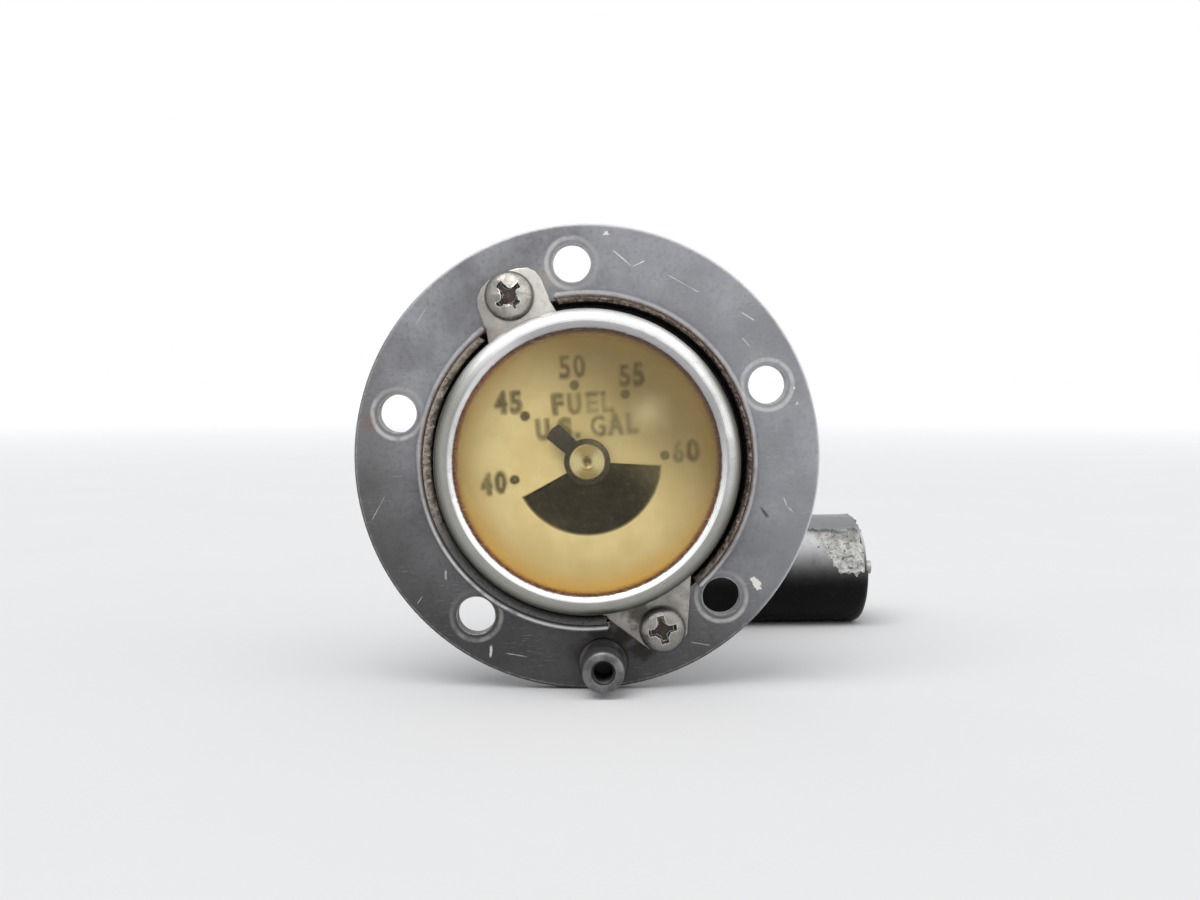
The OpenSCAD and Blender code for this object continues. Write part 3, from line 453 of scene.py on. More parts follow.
# Old sealant. A crumbled brown-grey bead of sealant and corrosion fills the corner between the
# raised lip's inner wall and the recess, and breaks off at the lip's openings for the ears.
BEAD_SPANS = ((-52.5, 96.0), (126.6, 272.0))
BEAD = [(22.78, 1.25), (22.78, 4.74), (22.56, 4.72), (22.32, 4.62), (22.08, 4.44), (21.9, 4.1), (21.8, 3.6),
        (21.74, 1.25)]
BEAD_SHIFT = Vector((0.3, 0.2))
BEAD_STEPS = 420
bead = bmesh.new()
for first, last in BEAD_SPANS:
    begin = Matrix.Rotation(math.radians(first), 4, "Z")
    section = bead.faces.new([bead.verts.new(begin @ Vector((r, 0, h))) for r, h in BEAD])
    bmesh.ops.spin(bead, geom=[section], cent=(0, 0, 0), axis=(0, 0, 1), angle=math.radians(last - first),
                   steps=BEAD_STEPS)
bmesh.ops.recalc_face_normals(bead, faces=bead.faces)
for vert in bead.verts:
    far = vert.co.xy.length
    free = min(1, max(0, (22.7 - far) / 0.6))
    if free and vert.co.z > 1.5:
        smooth_side = min(1, max(0.15, (vert.co.y + vert.co.x * 0.3 + 20) / 12))
        crumb = (noise.noise(vert.co * 1.1) * 0.26 + noise.noise(vert.co * 3.1) * 0.2) * smooth_side
        vert.co.xy += BEAD_SHIFT * free - vert.co.xy.normalized() * crumb * 0.6 * free
        vert.co.z += crumb * free * 1.3
sealant = Finish("old_sealant", Metallic=0.35)
right, back, up = map(sealant.axis, "XYZ")
step = sealant.between
grit = sealant.noise(1.6, 5, 0.7)
rim_far = sealant.radius(BEAD_SHIFT.x, DIAL_DROP + BEAD_SHIFT.y)
sealant.ground(step(grit, 0.4, 0.62), (104, 90, 80), (180, 164, 152))
sealant.coat(step(rim_far, 22.1, 22.75) * 0.6, (168, 154, 144))
side = step(right * -1.0 + up * -0.4 + grit * 20, 0, 26)
sealant.coat(side * 0.55, (190, 180, 168))
chips = step(sealant.noise(3.2, 3, 0.6), 0.58, 0.68)
sealant.coat(chips * 0.8, (204, 194, 184))
pores = step(sealant.noise(2.3, 3, 0.6, sealant.turned(shift=(5, 2, 7))), 0.56, 0.66)
sealant.coat(pores * 0.8, (44, 34, 28))
bare = step(up + right * 0.3, -8, -18)
sealant.coat(bare * 0.92, (92, 91, 92))
# Painted shade: the bead's inner edge, by the gap to the bezel, is painted near black.
sealant.coat(step(rim_far, 21.98, 21.78), (22, 18, 15))
sealant.set(Roughness=0.55)
sealant.bump(grit + chips, 0.1)
piece("sealant_bead", bead, facing(0, DIAL_DROP), sealant, "housing", 60)

# Dial case. A drawn and chromated aluminium cup with two ears. It drops into the casting's recess
# and carries the sealed dial.
EAR_ANGLES = (110.1, 290.1)
EAR_FOOT, EAR_T, EAR_EDGE = 3, 0.8, 0.14
EAR_SHADOW = (5.4, -22.2)
UPPER_EAR = [(19.2, -4.9), (22.2, -4.6), (25.6, -4.7), (26.9, -4.4), (27.8, -3.6), (28.3, -2.2), (28.6, 0.2),
             (28.4, 2.0), (27.8, 3.4), (26.9, 4.4), (25.6, 4.95), (22.4, 5.2), (19.2, 5.9)]
LOWER_EAR = [(19.2, -7.6), (27.3, -3.2), (28.4, -2.0), (28.7, -0.3), (28.4, 1.4), (27.6, 2.7), (19.2, 7.2)]
case_metal = turned_metal("case_chromate", (178, 174, 166), (216, 212, 203), (0.34, 0.46), 0.7, lines=1.5,
                          wear=0.7, depth=0.012, edge=0.12, dirt=(104, 94, 78))
right, back, up = map(case_metal.axis, "XYZ")
step = case_metal.between
# Painted shade: the case is darker towards the bottom.
case_metal.coat(step(up, -10, -22) * 0.55, (112, 109, 104))
# Painted shadow: a dark blot on the lower ear beside the bezel and the post.
stain = case_metal.radius(*EAR_SHADOW) + case_metal.noise(0.9, 3) * 2.4 - 1.2
case_metal.coat(step(stain, 2.6, 0.8) * 0.8, (58, 51, 43))
# Painted light and shade on the upper ear: a lighter band, and its left part painted darker.
upper = step(up, 10, 18)
case_metal.coat(step(right, -9.5, -6.5) * upper * 0.5, (236, 234, 228))
shaded = step(right, -9.5, -12.5) * upper
case_metal.coat(shaded * 0.6, (132, 128, 123))
case = spun([(0.6, -2), (17.3, -2), (17.8, -1.5), (17.8, 1.6), (20.5, 1.6), (20.5, 6), (18.9, 6), (18.9, 3.1),
             (16.6, 3.1), (16.6, -1.2), (2.2, -1.2), (2.2, -0.4), (0.6, -0.4)], 180)


def raised(shape, height):
    """Gives a flat shape its height."""
    bmesh.ops.recalc_face_normals(shape, faces=shape.faces)
    if sum(face.normal.z for face in shape.faces) < 0:
        bmesh.ops.reverse_faces(shape, faces=shape.faces)
    made = bmesh.ops.extrude_face_region(shape, geom=shape.faces[:], use_keep_orig=True)
    top = [part for part in made["geom"] if isinstance(part, bmesh.types.BMVert)]
    bmesh.ops.translate(shape, verts=top, vec=(0, 0, height))
    bmesh.ops.recalc_face_normals(shape, faces=shape.faces)
    return shape


def joined(shapes):
    """Several shapes as one."""
    whole = bmesh.new()
    for one in shapes:
        mesh = bpy.data.meshes.new("part")
        one.to_mesh(mesh)
        one.free()
        whole.from_mesh(mesh)
        bpy.data.meshes.remove(mesh)
    return whole


ears = []
for angle, outline in zip(EAR_ANGLES, (UPPER_EAR, LOWER_EAR)):
    ear = bmesh.new()
    ear.faces.new([ear.verts.new((u, v, EAR_FOOT)) for u, v in outline])
    raised(ear, EAR_T)
    rim = [line for line in ear.edges if all(v.co.z > EAR_FOOT for v in line.verts)]
    bmesh.ops.bevel(ear, geom=rim, offset=EAR_EDGE, affect="EDGES", segments=3, profile=0.5, material=-1)
    ear.transform(Matrix.Rotation(math.radians(angle), 4, "Z"))
    ears.append(ear)
case_piece = piece("dial_case_drawn", joined([case, *ears]), facing(0, DIAL_DROP), case_metal, "housing",
                   40)
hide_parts("dial_case")

# Dial plate. A thin aluminium disc enamelled cream, gone yellow with age and dusty with specks.
plate_paint = Finish("dial_enamel", Roughness=0.55, Specular_IOR_Level=0.3)
step = plate_paint.between
cloud = plate_paint.noise(0.16, 4, 0.6)
plate_paint.ground(step(cloud, 0.35, 0.65), (226, 203, 138), (238, 217, 154))
rim_far = plate_paint.radius(0, DIAL_DROP)
plate_paint.coat(step(rim_far + cloud * 4, 17.0, 21.0, 0, 0.8), (216, 172, 88))
# Painted shade: the dial is darker towards the upper right, where the bezel shades it.
high = step(plate_paint.axis("Z") * 0.8 + plate_paint.axis("X") * 0.75 + cloud * 6, 2, 17)
plate_paint.coat(high * 0.55, (168, 138, 82))
dust = step(plate_paint.noise(4.2, 2, 0.5), 0.7, 0.76)
plate_paint.coat(dust * 0.4, (140, 118, 74))
plate_paint.bump(plate_paint.noise(3.0, 3), 0.01, 0.05)
dress(plate_paint, "dial_plate")

# Dial printing. Screened black ink on the plate: a black sector where the gauge reads no more,
# five dots with their numbers, and two words. It has faded and flaked.
PLATE_FRONT = 3.5
INK = 0.03
SECTOR_RADII = (1.6, 5, 10.4)
SECTOR_FROM, SECTOR_TO = -6.7, -156.3
SECTOR_SOFT = 0.42
DOTS = [(-10.25, -1.8), (-8.1, 6.92), (-0.94, 10.65), (5.98, 8.87), (10.78, 0.0)]
DOT_R, DOT_SOFT, DOT_COVER = 0.78, 0.3, 0.72
SOFT = 0.24
GRAIN = 0.1
# each letter: x and z of its middle, its width and height, and how strongly it is printed
WORDS = {"40": [("4", -14.2, -2.1, 1.45, 2.95, 0.4), ("0", -12.2, -2.0, 1.5, 3.0, 0.6)],
         "45": [("4", -11.3, 9.05, 1.65, 3.05, 0.62), ("5", -9.25, 8.95, 1.5, 3.0, 0.54)],
         "50": [("5", -2.1, 13.3, 1.55, 3.2, 0.92), ("0", -0.1, 13.3, 1.65, 3.15, 0.88)],
         "55": [("5", 6.1, 11.45, 1.45, 3.0, 0.9), ("5", 7.98, 11.5, 1.5, 3.3, 1.0)],
         "60": [("6", 12.7, 0.42, 1.45, 3.0, 0.42), ("0", 14.75, 0.38, 1.75, 3.1, 0.88)],
         "FUEL": [("F", -3.45, 8.2, 1.5, 2.8, 0.54), ("U", -1.15, 8.1, 1.7, 2.8, 0.42),
                  ("E", 1.3, 8.05, 1.6, 2.8, 0.46), ("L", 3.4, 8.0, 1.5, 2.8, 0.42)],
         "US": [("U", -5.8, 4.85, 1.75, 2.8, 0.46), (".", -4.2, 3.7, 0.4, 0.4, 0.4),
                ("S", -2.7, 4.8, 1.65, 2.8, 0.42), (".", -1.0, 3.7, 0.4, 0.4, 0.4)],
         "GAL": [("G", 1.85, 4.8, 2.0, 2.9, 0.66), ("A", 4.3, 4.8, 2.0, 2.8, 0.5),
                 ("L", 6.65, 4.8, 1.55, 2.8, 0.36)]}
ink = Finish("dial_ink", Roughness=0.6, Specular_IOR_Level=0.25)
flakes = ink.between(ink.noise(5.5, 3, 0.6), 0.6, 0.68)
thin = ink.between(ink.noise(0.45, 4, 0.65), 0.38, 0.66, 0.0, 0.5)
ink.ground(thin, (34, 30, 22), (92, 82, 56))
cover = ink.node("ShaderNodeAttribute", {"attribute_name": "ink_cover"}, out="Fac")
cover = cover * (1 - flakes * 0.4)
ink.set(Alpha=1 - ink.maths("SQRT", 1 - cover))
sector_ink = Finish("sector_ink", Roughness=0.6, Specular_IOR_Level=0.25)
flakes = sector_ink.between(sector_ink.noise(2.6, 3, 0.6), 0.56, 0.72)
worn_side = sector_ink.between(sector_ink.axis("X") - sector_ink.axis("Z") * 0.4, 5, 12, 0.15, 0.7)
bright_flakes = sector_ink.noise(5.0, 2, 0.5, sector_ink.turned(shift=(5, 1, 4)))
bright_flakes = sector_ink.between(bright_flakes, 0.7, 0.75)
sector_ink.ground(sector_ink.between(sector_ink.noise(0.35, 3), 0.35, 0.65), (8, 8, 8), (20, 20, 17))
sector_ink.coat(flakes * worn_side, (88, 82, 60))
cover = sector_ink.node("ShaderNodeAttribute", {"attribute_name": "ink_cover"}, out="Fac")
sector_ink.coat(bright_flakes, (206, 190, 140))
sector_ink.set(Alpha=1 - sector_ink.maths("SQRT", 1 - cover * 0.995))


def rimmed(shape, soft, cover):
    """A plain shape of ink with a soft rim, where its cover falls to nought."""
    layer = shape.verts.layers.float.new("ink_cover")
    bmesh.ops.remove_doubles(shape, verts=shape.verts, dist=1e-4)
    bmesh.ops.recalc_face_normals(shape, faces=shape.faces)
    bmesh.ops.inset_region(shape, faces=shape.faces[:], thickness=soft, use_boundary=True,
                           use_even_offset=True)
    for vert in shape.verts:
        vert[layer] = 0.0 if vert.is_boundary else cover
    return raised(shape, INK)


def trimmed(shape, gone):
    """Takes faces out, and with them those that would be left hanging by a corner."""
    bmesh.ops.delete(shape, geom=gone, context="FACES")
    while pinched := {v for v in shape.verts if sum(line.is_boundary for line in v.link_edges) > 2}:
        at_pinch = [face for face in shape.faces if any(v in pinched for v in face.verts)]
        bmesh.ops.delete(shape, geom=at_pinch, context="FACES")
    bmesh.ops.delete(shape, geom=[v for v in shape.verts if not v.link_faces], context="VERTS")


def blurred(shape, cover):
    """A flat letter as a fine grid of ink, its cover softened as if seen through the hazy lens."""
    shape_tree = BVHTree.FromBMesh(shape)
    xs, ys = [v.co.x for v in shape.verts], [v.co.y for v in shape.verts]
    shape.free()
    low, high = Vector((min(xs) - SOFT, min(ys) - SOFT, 0)), Vector((max(xs) + SOFT, max(ys) + SOFT, 0))
    near = [Vector((0, 0, 1))]
    for r in (0.5, 1):
        angles = [math.tau * k / 6 + r for k in range(6)]
        near += [Vector((math.cos(a) * SOFT * r, math.sin(a) * SOFT * r, 1)) for a in angles]
    grid = bmesh.new()
    layer = grid.verts.layers.float.new("ink_cover")
    bmesh.ops.create_grid(grid, x_segments=math.ceil((high.x - low.x) / GRAIN),
                          y_segments=math.ceil((high.y - low.y) / GRAIN), size=0.5)
    bmesh.ops.scale(grid, verts=grid.verts, vec=(*(high - low).xy, 1))
    bmesh.ops.translate(grid, verts=grid.verts, vec=(low + high) / 2)
    for vert in grid.verts:
        hits = sum(shape_tree.ray_cast(vert.co + d, (0, 0, -1))[0] is not None for d in near)
        vert[layer] = cover * hits / len(near)
    bare = [face for face in grid.faces if all(v[layer] == 0 for v in face.verts)]
    trimmed(grid, bare)
    return raised(grid, INK)


def lettered(text, x, z, wide, high):
    """Letters as a flat shape, stretched to the width and height that the dial has room for."""
    curve = bpy.data.curves.new("letters", "FONT")
    curve.body = text
    curve.resolution_u = 3
    curve.offset = 0.03
    holder = bpy.data.objects.new("letters", curve)
    scene.collection.objects.link(holder)
    bpy.context.view_layer.update()
    mesh = bpy.data.meshes.new_from_object(holder.evaluated_get(bpy.context.evaluated_depsgraph_get()))
    bpy.data.objects.remove(holder)
    shape = bmesh.new()
    shape.from_mesh(mesh)
    bpy.data.meshes.remove(mesh)
    xs, ys = [v.co.x for v in shape.verts], [v.co.y for v in shape.verts]
    shape.transform(Matrix.Translation((-(min(xs) + max(xs)) / 2, -(min(ys) + max(ys)) / 2, 0)))
    shape.transform(Matrix.Diagonal((wide / (max(xs) - min(xs)), high / (max(ys) - min(ys)), 1, 1)))
    shape.transform(Matrix.Translation((x, z, 0)))
    return shape


printed = facing(0, DIAL_DROP, PLATE_FRONT)
for word, letters in WORDS.items():
    shape = joined([blurred(lettered(letter, *box), cover) for letter, *box, cover in letters])
    piece("print_" + word.lower(), shape, printed, ink, "housing")
dots = bmesh.new()
for x, z in DOTS:
    bmesh.ops.create_circle(dots, cap_ends=True, segments=24, radius=DOT_R,
                            matrix=Matrix.Translation((x, z, 0)))
piece("print_dots", rimmed(dots, DOT_SOFT, DOT_COVER), printed, ink, "housing")
fan = bmesh.new()
start = Matrix.Rotation(math.radians(SECTOR_FROM), 4, "Z")
spoke = [fan.verts.new(start @ Vector((r, 0, 0))) for r in SECTOR_RADII]
ribs = [fan.edges.new(pair) for pair in zip(spoke, spoke[1:])]
bmesh.ops.spin(fan, geom=spoke + ribs, cent=(0, 0, 0), axis=(0, 0, 1),
               angle=math.radians(SECTOR_TO - SECTOR_FROM), steps=90)
piece("print_sector", rimmed(fan, SECTOR_SOFT, 1.0), printed, sector_ink, "housing")

# Pointer and hub. A black paddle on a black collar, held by a turned brass hub that spins on a
# fixed steel pivot; its ring magnet follows the drive magnet through the sealed wall.
enamel = Finish("pointer_enamel", Roughness=0.5, Specular_IOR_Level=0.4)
mottle = enamel.noise(2.4, 4, 0.65)
enamel.ground(enamel.between(mottle, 0.4, 0.7), (22, 21, 20), (58, 54, 44))
enamel.bump(mottle, 0.02, 0.05)
dress(enamel, "pointer")
hub_brass = Finish("hub_brass", Metallic=1.0)
far = hub_brass.radius(0, DIAL_DROP)
x, z = hub_brass.axis("X"), hub_brass.axis("Z") - DIAL_DROP
lathe = hub_brass.rings(far, 7.0, 3.0)
# Painted light on the turned face: a fan-shaped painted highlight, painted shade in the centre dimple and a
# darker lower half.
painted_fan_highlight = hub_brass.maths("DIVIDE", x * x - z * z, far * far + 0.05)
hub_brass.ground(hub_brass.between(painted_fan_highlight, -0.8, 0.8), (158, 140, 92), (206, 192, 144))
hub_brass.coat(hub_brass.between(lathe, 0.4, 0.7, 0, 0.3), (140, 122, 74))
hub_brass.coat(hub_brass.between(far, 1.0, 0.3) * 0.9, (76, 66, 42))
hub_brass.coat(hub_brass.between(z, -0.6, -2.4) * 0.35, (132, 116, 72))
hub_brass.set(Roughness=hub_brass.between(lathe, 0.35, 0.65, 0.24, 0.36))
hub_brass.bump(lathe, 0.006, 0.1)
dress(hub_brass, "pointer_hub")
pivot_steel = turned_metal("pivot_steel", (132, 133, 136), (176, 177, 180), (0.2, 0.32), lines=6)
dress(pivot_steel, "dial_pivot")
ferrite = Finish("magnet_ferrite", Roughness=0.6, Specular_IOR_Level=0.4)
speckle = ferrite.noise(3.2, 4, 0.7)
ferrite.ground(ferrite.between(speckle, 0.4, 0.65), (52, 50, 49), (84, 81, 79))
ferrite.bump(speckle, 0.03, 0.1)
dress(ferrite, "pointer_magnet", "drive_magnet")

# Lens and seal. A clear plastic disc, yellowed, hazy and lightly scratched, on a thin fibre seal
# that has gone brown where it shows inside the bezel.
haze = Finish("lens_plastic", Roughness=0.12, IOR=1.49)
right, back, up = map(haze.axis, "XYZ")
step = haze.between
cloud = haze.noise(0.12, 4, 0.6)
rim_far = haze.radius(0, DIAL_DROP)
low_edge = step(up * -1.0 + right * -0.25 + cloud * 5, 4, 19)
amber = step(rim_far + cloud * 3, 14.5, 20.0) * (0.2 + low_edge * 0.8)
high = step(up * 0.8 + right * 0.75 + cloud * 6, 2, 17)
haze.ground(step(cloud, 0.35, 0.65), (210, 190, 130), (222, 204, 146))
# Painted shade: the lens is darker and browner towards the upper right, where the bezel shades it.
haze.coat(high * 0.8, (102, 82, 42))
haze.coat(amber, (240, 186, 78))
crumbs = haze.noise(3.0, 4, 0.65)
crust = step(rim_far + crumbs * 1.1, 18.2, 18.5)
shade = step(rim_far, 16.9, 18.2) * step(up + cloud * 6, -12, 6)
haze.coat(shade * 0.7, (96, 70, 34))
rust = haze.mix(step(crumbs, 0.4, 0.6), rgb(66, 36, 18), rgb(146, 88, 38))
# The rim's crust is real. Towards the top it is painted darker as painted shade.
haze.coat(crust, haze.mix(high * 0.7, rust, rgb(60, 42, 28)))
# Painted reflection: a pale soft glare on the lens to the upper right of the hub.
painted_glare = step(haze.radius(8.8, 5.4) + haze.noise(0.6, 3) * 4, 6.0, 1.6)
haze.coat(painted_glare * 0.8, (226, 208, 158))
hair = 0
for turn, scale, thin, low in ((33, 0.4, 30, 0.7), (-52, 0.3, 34, 0.71)):
    lines = haze.noise(scale, 2, 0.45, haze.turned((0, turn, 0), (1, 1, thin)))
    hair = haze.maths("MAXIMUM", hair, step(lines, low, low + 0.03))
haze.coat(hair * 0.5, (226, 214, 180))
haze.set(Alpha=0.02 + amber * 0.4 + high * 0.25 + crust * 0.8 + shade * 0.25 + hair * 0.1
         + step(cloud, 0.4, 0.7, 0, 0.03) + painted_glare * 0.1)
haze.bump(haze.noise(0.8, 3) - hair * 0.4, 0.01, 0.1)
dress(haze, "lens")
fibre = Finish("seal_fibre", Roughness=0.7)
grit = fibre.noise(2.8, 4, 0.7)
fibre.ground(fibre.between(grit, 0.4, 0.62), (84, 46, 22), (128, 80, 36))
fibre.bump(grit, 0.05)
dress(fibre, "lens_seal")

# Bezel. A spun aluminium ring crimped over the lens and the case, one smooth roll that is bright on its crest
# and duller towards the window and at the shoulder, partly through painted highlight and painted shade in its
# colour. It is nicked all round.
BEZEL_STEPS = 360
# each nick: its angle, radius, width and depth
NICKS = [(113.1, 19.0, 0.5, 0.14), (133.2, 19.2, 0.4, 0.12), (67.0, 18.8, 0.6, 0.12), (56.6, 19.1, 0.5, 0.14),
         (40.3, 18.9, 0.6, 0.16), (179.5, 18.9, 0.4, 0.12), (190.5, 18.85, 0.5, 0.1),
         (-32.3, 18.6, 0.45, 0.14),
         (-85.4, 19.9, 0.5, 0.1), (15.0, 20.9, 0.5, 0.12), (160.0, 20.8, 0.6, 0.1), (-60.0, 18.5, 0.4, 0.12),
         (84.0, 20.6, 0.4, 0.08), (-128.0, 20.8, 0.7, 0.12)]
ring = spun([(20.5, 4.1), (20.95, 4.1), (21.06, 4.16), (21.1, 4.28), (21.1, 6.3), (21.06, 6.75),
             (20.94, 7.18), (20.72, 7.6), (20.42, 7.93), (20.05, 8.16), (19.65, 8.28), (19.3, 8.3),
             (18.98, 8.25), (18.7, 8.13), (18.46, 7.96), (18.31, 7.79), (18.25, 7.68), (18.32, 7.6),
             (20.5, 7.6)], BEZEL_STEPS)
for vert in ring.verts:
    far = math.hypot(vert.co.x, vert.co.y)
    if vert.co.z > 7.5:
        ripple = noise.noise(Vector((vert.co.x * 0.35, vert.co.y * 0.35, 3))) * 0.05
        vert.co.z += ripple if vert.co.z > 7.62 else 0
        for angle, r, wide, deep in NICKS:
            dent = Vector((r * math.cos(math.radians(angle)), r * math.sin(math.radians(angle))))
            close = (vert.co.xy - dent).length / wide
            if close < 1 and vert.co.z > 7.7:
                vert.co.z -= deep * (1 - close * close) ** 2
bezel_metal = Finish("bezel_aluminium", Metallic=0.62)
right, back, up = map(bezel_metal.axis, "XYZ")
step = bezel_metal.between
far = bezel_metal.radius(0, DIAL_DROP)
drawn = bezel_metal.rings(far, 9.0, 4.0)
cloud = bezel_metal.noise(0.3, 4, 0.65)
fine = bezel_metal.noise(2.4, 4, 0.6)
lit_top_side = step(up, -12, 4)
bezel_metal.ground(step(cloud, 0.35, 0.65), (212, 212, 209), (242, 242, 240))
# Painted highlight: the roll is whiter along the top.
bezel_metal.coat(lit_top_side * step(up, 4, 16) * 0.6, (252, 252, 252))
bezel_metal.coat(step(drawn, 0.4, 0.7, 0, 0.22), (150, 146, 140))
# Painted shade: the outer skirt is darker.
shaded_skirt = step(back, -7.3, -5.9)
bezel_metal.coat(shaded_skirt * 0.6, (124, 118, 106))
shaded_left_side = step(right + up * 0.35, 2, -10)
# Painted shade: the outer shoulder away from the top, and the outer part of the roll on the left and lower
# sides, are darker.
shaded_shoulder = step(far + cloud * 0.4, 19.9, 21.0) * step(up, 16, 8)
bezel_metal.coat(shaded_shoulder * 0.9, (88, 86, 75))
shaded_side = bezel_metal.maths("MAXIMUM", shaded_left_side, 1 - lit_top_side) * step(up, 18, 8)
shaded_roll = step(far + cloud * 0.3, 18.95, 19.35) * shaded_side
bezel_metal.coat(shaded_roll * 0.85, bezel_metal.mix(shaded_shoulder, rgb(138, 137, 130), rgb(92, 90, 80)))
# Painted shade: the inner band is a duller grey on the top and right.
inner = step(far + cloud * 0.3, 19.65, 19.35) * lit_top_side * (1 - shaded_left_side)
bezel_metal.coat(inner * 0.75, (152, 150, 152))
# Painted highlight: the inner band is near white on the lower side.
lit_inner_low = step(far, 19.2, 18.95) * (1 - lit_top_side)
bezel_metal.coat(lit_inner_low * 0.8, (250, 250, 250))
rust = step(far + fine * 0.5, 18.72, 18.56)
bezel_metal.coat(rust * 0.85, (92, 62, 40))
scuffs = bezel_metal.noise(0.7, 2, 0.5, bezel_metal.turned((0, 57, 0), (1, 1, 14)))
scuffs = step(scuffs, 0.66, 0.72)
bezel_metal.coat(scuffs * 0.5, (120, 114, 106))
bezel_metal.set(Roughness=step(drawn, 0.35, 0.65, 0.2, 0.32) + rust * 0.3 + shaded_skirt * 0.1)
bezel_metal.bump(drawn * 0.5 + fine - scuffs, 0.012)
bezel_piece = piece("bezel_ring", ring, facing(0, DIAL_DROP), bezel_metal, "housing", 40)
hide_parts("bezel")

# Dial screws. Two plated steel pan heads with cross recesses hold the case's ears down. The upper
# one is chewed by slipped drivers, the lower one a little.
SCREW_RING = 25.2
HEAD_FOOT = 3.8
HEAD_TOP = 2.1
CROSS_TURNS = (40.5, 8.5)
CROSS_CHEWS = (0.55, 0.2)
HEAD_SIZES = (1.0, 0.94)
HEAD_SHIFTS = ((0.0, 0.25), (0.35, -0.2))
CROSS_ABOVE, CROSS_DEEP, CROSS_TAPER = 0.9, 1.35, 0.28
CROSS_STEPS = 4
CHEW_SEED = 3
CROSS = [(0.62, 2.45), (-0.62, 2.45), (-0.66, 1.3), (-1.3, 0.66), (-2.45, 0.62), (-2.45, -0.62),
         (-1.3, -0.66), (-0.66, -1.3), (-0.62, -2.45), (0.62, -2.45), (0.66, -1.3), (1.3, -0.66),
         (2.45, -0.62), (2.45, 0.62), (1.3, 0.66), (0.66, 1.3)]


def cut(shape, tool):
    """Takes one closed shape out of another."""
    both = []
    for one in (shape, tool):
        mesh = bpy.data.meshes.new("cut")
        one.to_mesh(mesh)
        one.free()
        both.append(bpy.data.objects.new("cut", mesh))
        scene.collection.objects.link(both[-1])
    taken = both[0].modifiers.new("cut", "BOOLEAN")
    taken.operation = "DIFFERENCE"
    taken.solver = "MANIFOLD"
    taken.object = both[1]
    bpy.context.view_layer.update()
    mesh = bpy.data.meshes.new_from_object(both[0].evaluated_get(bpy.context.evaluated_depsgraph_get()))
    for one in both:
        bpy.data.objects.remove(one)
    left = bmesh.new()
    left.from_mesh(mesh)
    bpy.data.meshes.remove(mesh)
    return left


def cross_tool():
    """A tapered cross that cuts a head's recess, built up in levels so that its walls can be dented."""
    tool = bmesh.new()
    sides = zip(CROSS, CROSS[1:] + CROSS[:1])
    rim = [Vector(a).lerp(Vector(b), k / CROSS_STEPS) for a, b in sides for k in range(CROSS_STEPS)]
    level = tool.faces.new([tool.verts.new((*spot, CROSS_ABOVE)) for spot in rim])
    share = 1
    for k in range(CROSS_STEPS):
        grown = bmesh.ops.extrude_face_region(tool, geom=[level], use_keep_orig=True)["geom"]
        if k:
            bmesh.ops.delete(tool, geom=[level], context="FACES_ONLY")
        level = next(part for part in grown if isinstance(part, bmesh.types.BMFace) and len(part.verts) > 4)
        narrower = 1 - CROSS_TAPER * (k + 1) / CROSS_STEPS
        bmesh.ops.translate(tool, verts=level.verts[:], vec=(0, 0, -(CROSS_ABOVE + CROSS_DEEP) / CROSS_STEPS))
        bmesh.ops.scale(tool, verts=level.verts[:], vec=(narrower / share, narrower / share, 1))
        share = narrower
    bmesh.ops.recalc_face_normals(tool, faces=tool.faces)
    return tool


noise.seed_set(CHEW_SEED)
heads = []
for angle, turn, chew, size, shift in zip(EAR_ANGLES, CROSS_TURNS, CROSS_CHEWS, HEAD_SIZES, HEAD_SHIFTS):
    head = spun([(0, -3.2), (1.75, -3.2), (1.75, 0), (3.3, 0), (3.41, 0.08), (3.45, 0.24), (3.43, 0.7),
                 (3.3, 1.12), (3.02, 1.48), (2.6, 1.76), (2.1, 1.95), (1.5, 2.05), (0.8, HEAD_TOP),
                 (0, HEAD_TOP)], 96, False)
    tool = cross_tool()
    tool.transform(Matrix.Translation((0, 0, HEAD_TOP)))
    head = cut(head, tool)
    bmesh.ops.triangulate(head, faces=[face for face in head.faces if len(face.verts) > 4])
    for vert in head.verts:
        near = min(1, max(0, 3.1 - vert.co.xy.length)) * min(1, max(0, vert.co.z / 0.6))
        push = noise.noise_vector(vert.co * 0.9 + Vector((5, 0, 0)))
        push += noise.noise_vector(vert.co * 2.4) * 0.35
        vert.co += Vector((push.x, push.y, push.z * 0.5)) * near * chew
    bmesh.ops.scale(head, verts=head.verts, vec=(size, size, 1))
    centre = Vector((SCREW_RING + shift[0], shift[1], HEAD_FOOT))
    centre.rotate(Matrix.Rotation(math.radians(angle), 3, "Z"))
    head.transform(Matrix.Translation(centre) @ Matrix.Rotation(math.radians(turn), 4, "Z"))
    heads.append(head)
plating = Finish("screw_plating", Metallic=0.8)
right, back, up = map(plating.axis, "XYZ")
step = plating.between
cloud = plating.noise(0.8, 4, 0.65)
fine = plating.noise(4.5, 3, 0.6)
plating.ground(step(cloud, 0.35, 0.65), (164, 158, 150), (196, 191, 183))
depth = step(back, -5.35, -4.7)
pit = 0
for angle in EAR_ANGLES:
    x = SCREW_RING * math.cos(math.radians(angle))
    z = SCREW_RING * math.sin(math.radians(angle)) + DIAL_DROP
    pit = pit + step(plating.radius(x, z), 2.2, 2.0)
plating.coat(step(up, 4, -4) * 0.6, (112, 111, 108))
# Painted shade: the heads' sides are darker.
shaded_flank = step(back, -5.75, -5.0) * (1 - pit)
plating.coat(shaded_flank * 0.6, (104, 103, 100))
shaded = step(right, -8.2, -11.4) * step(up, 10, 18)
plating.coat(shaded * 0.6, (104, 102, 100))
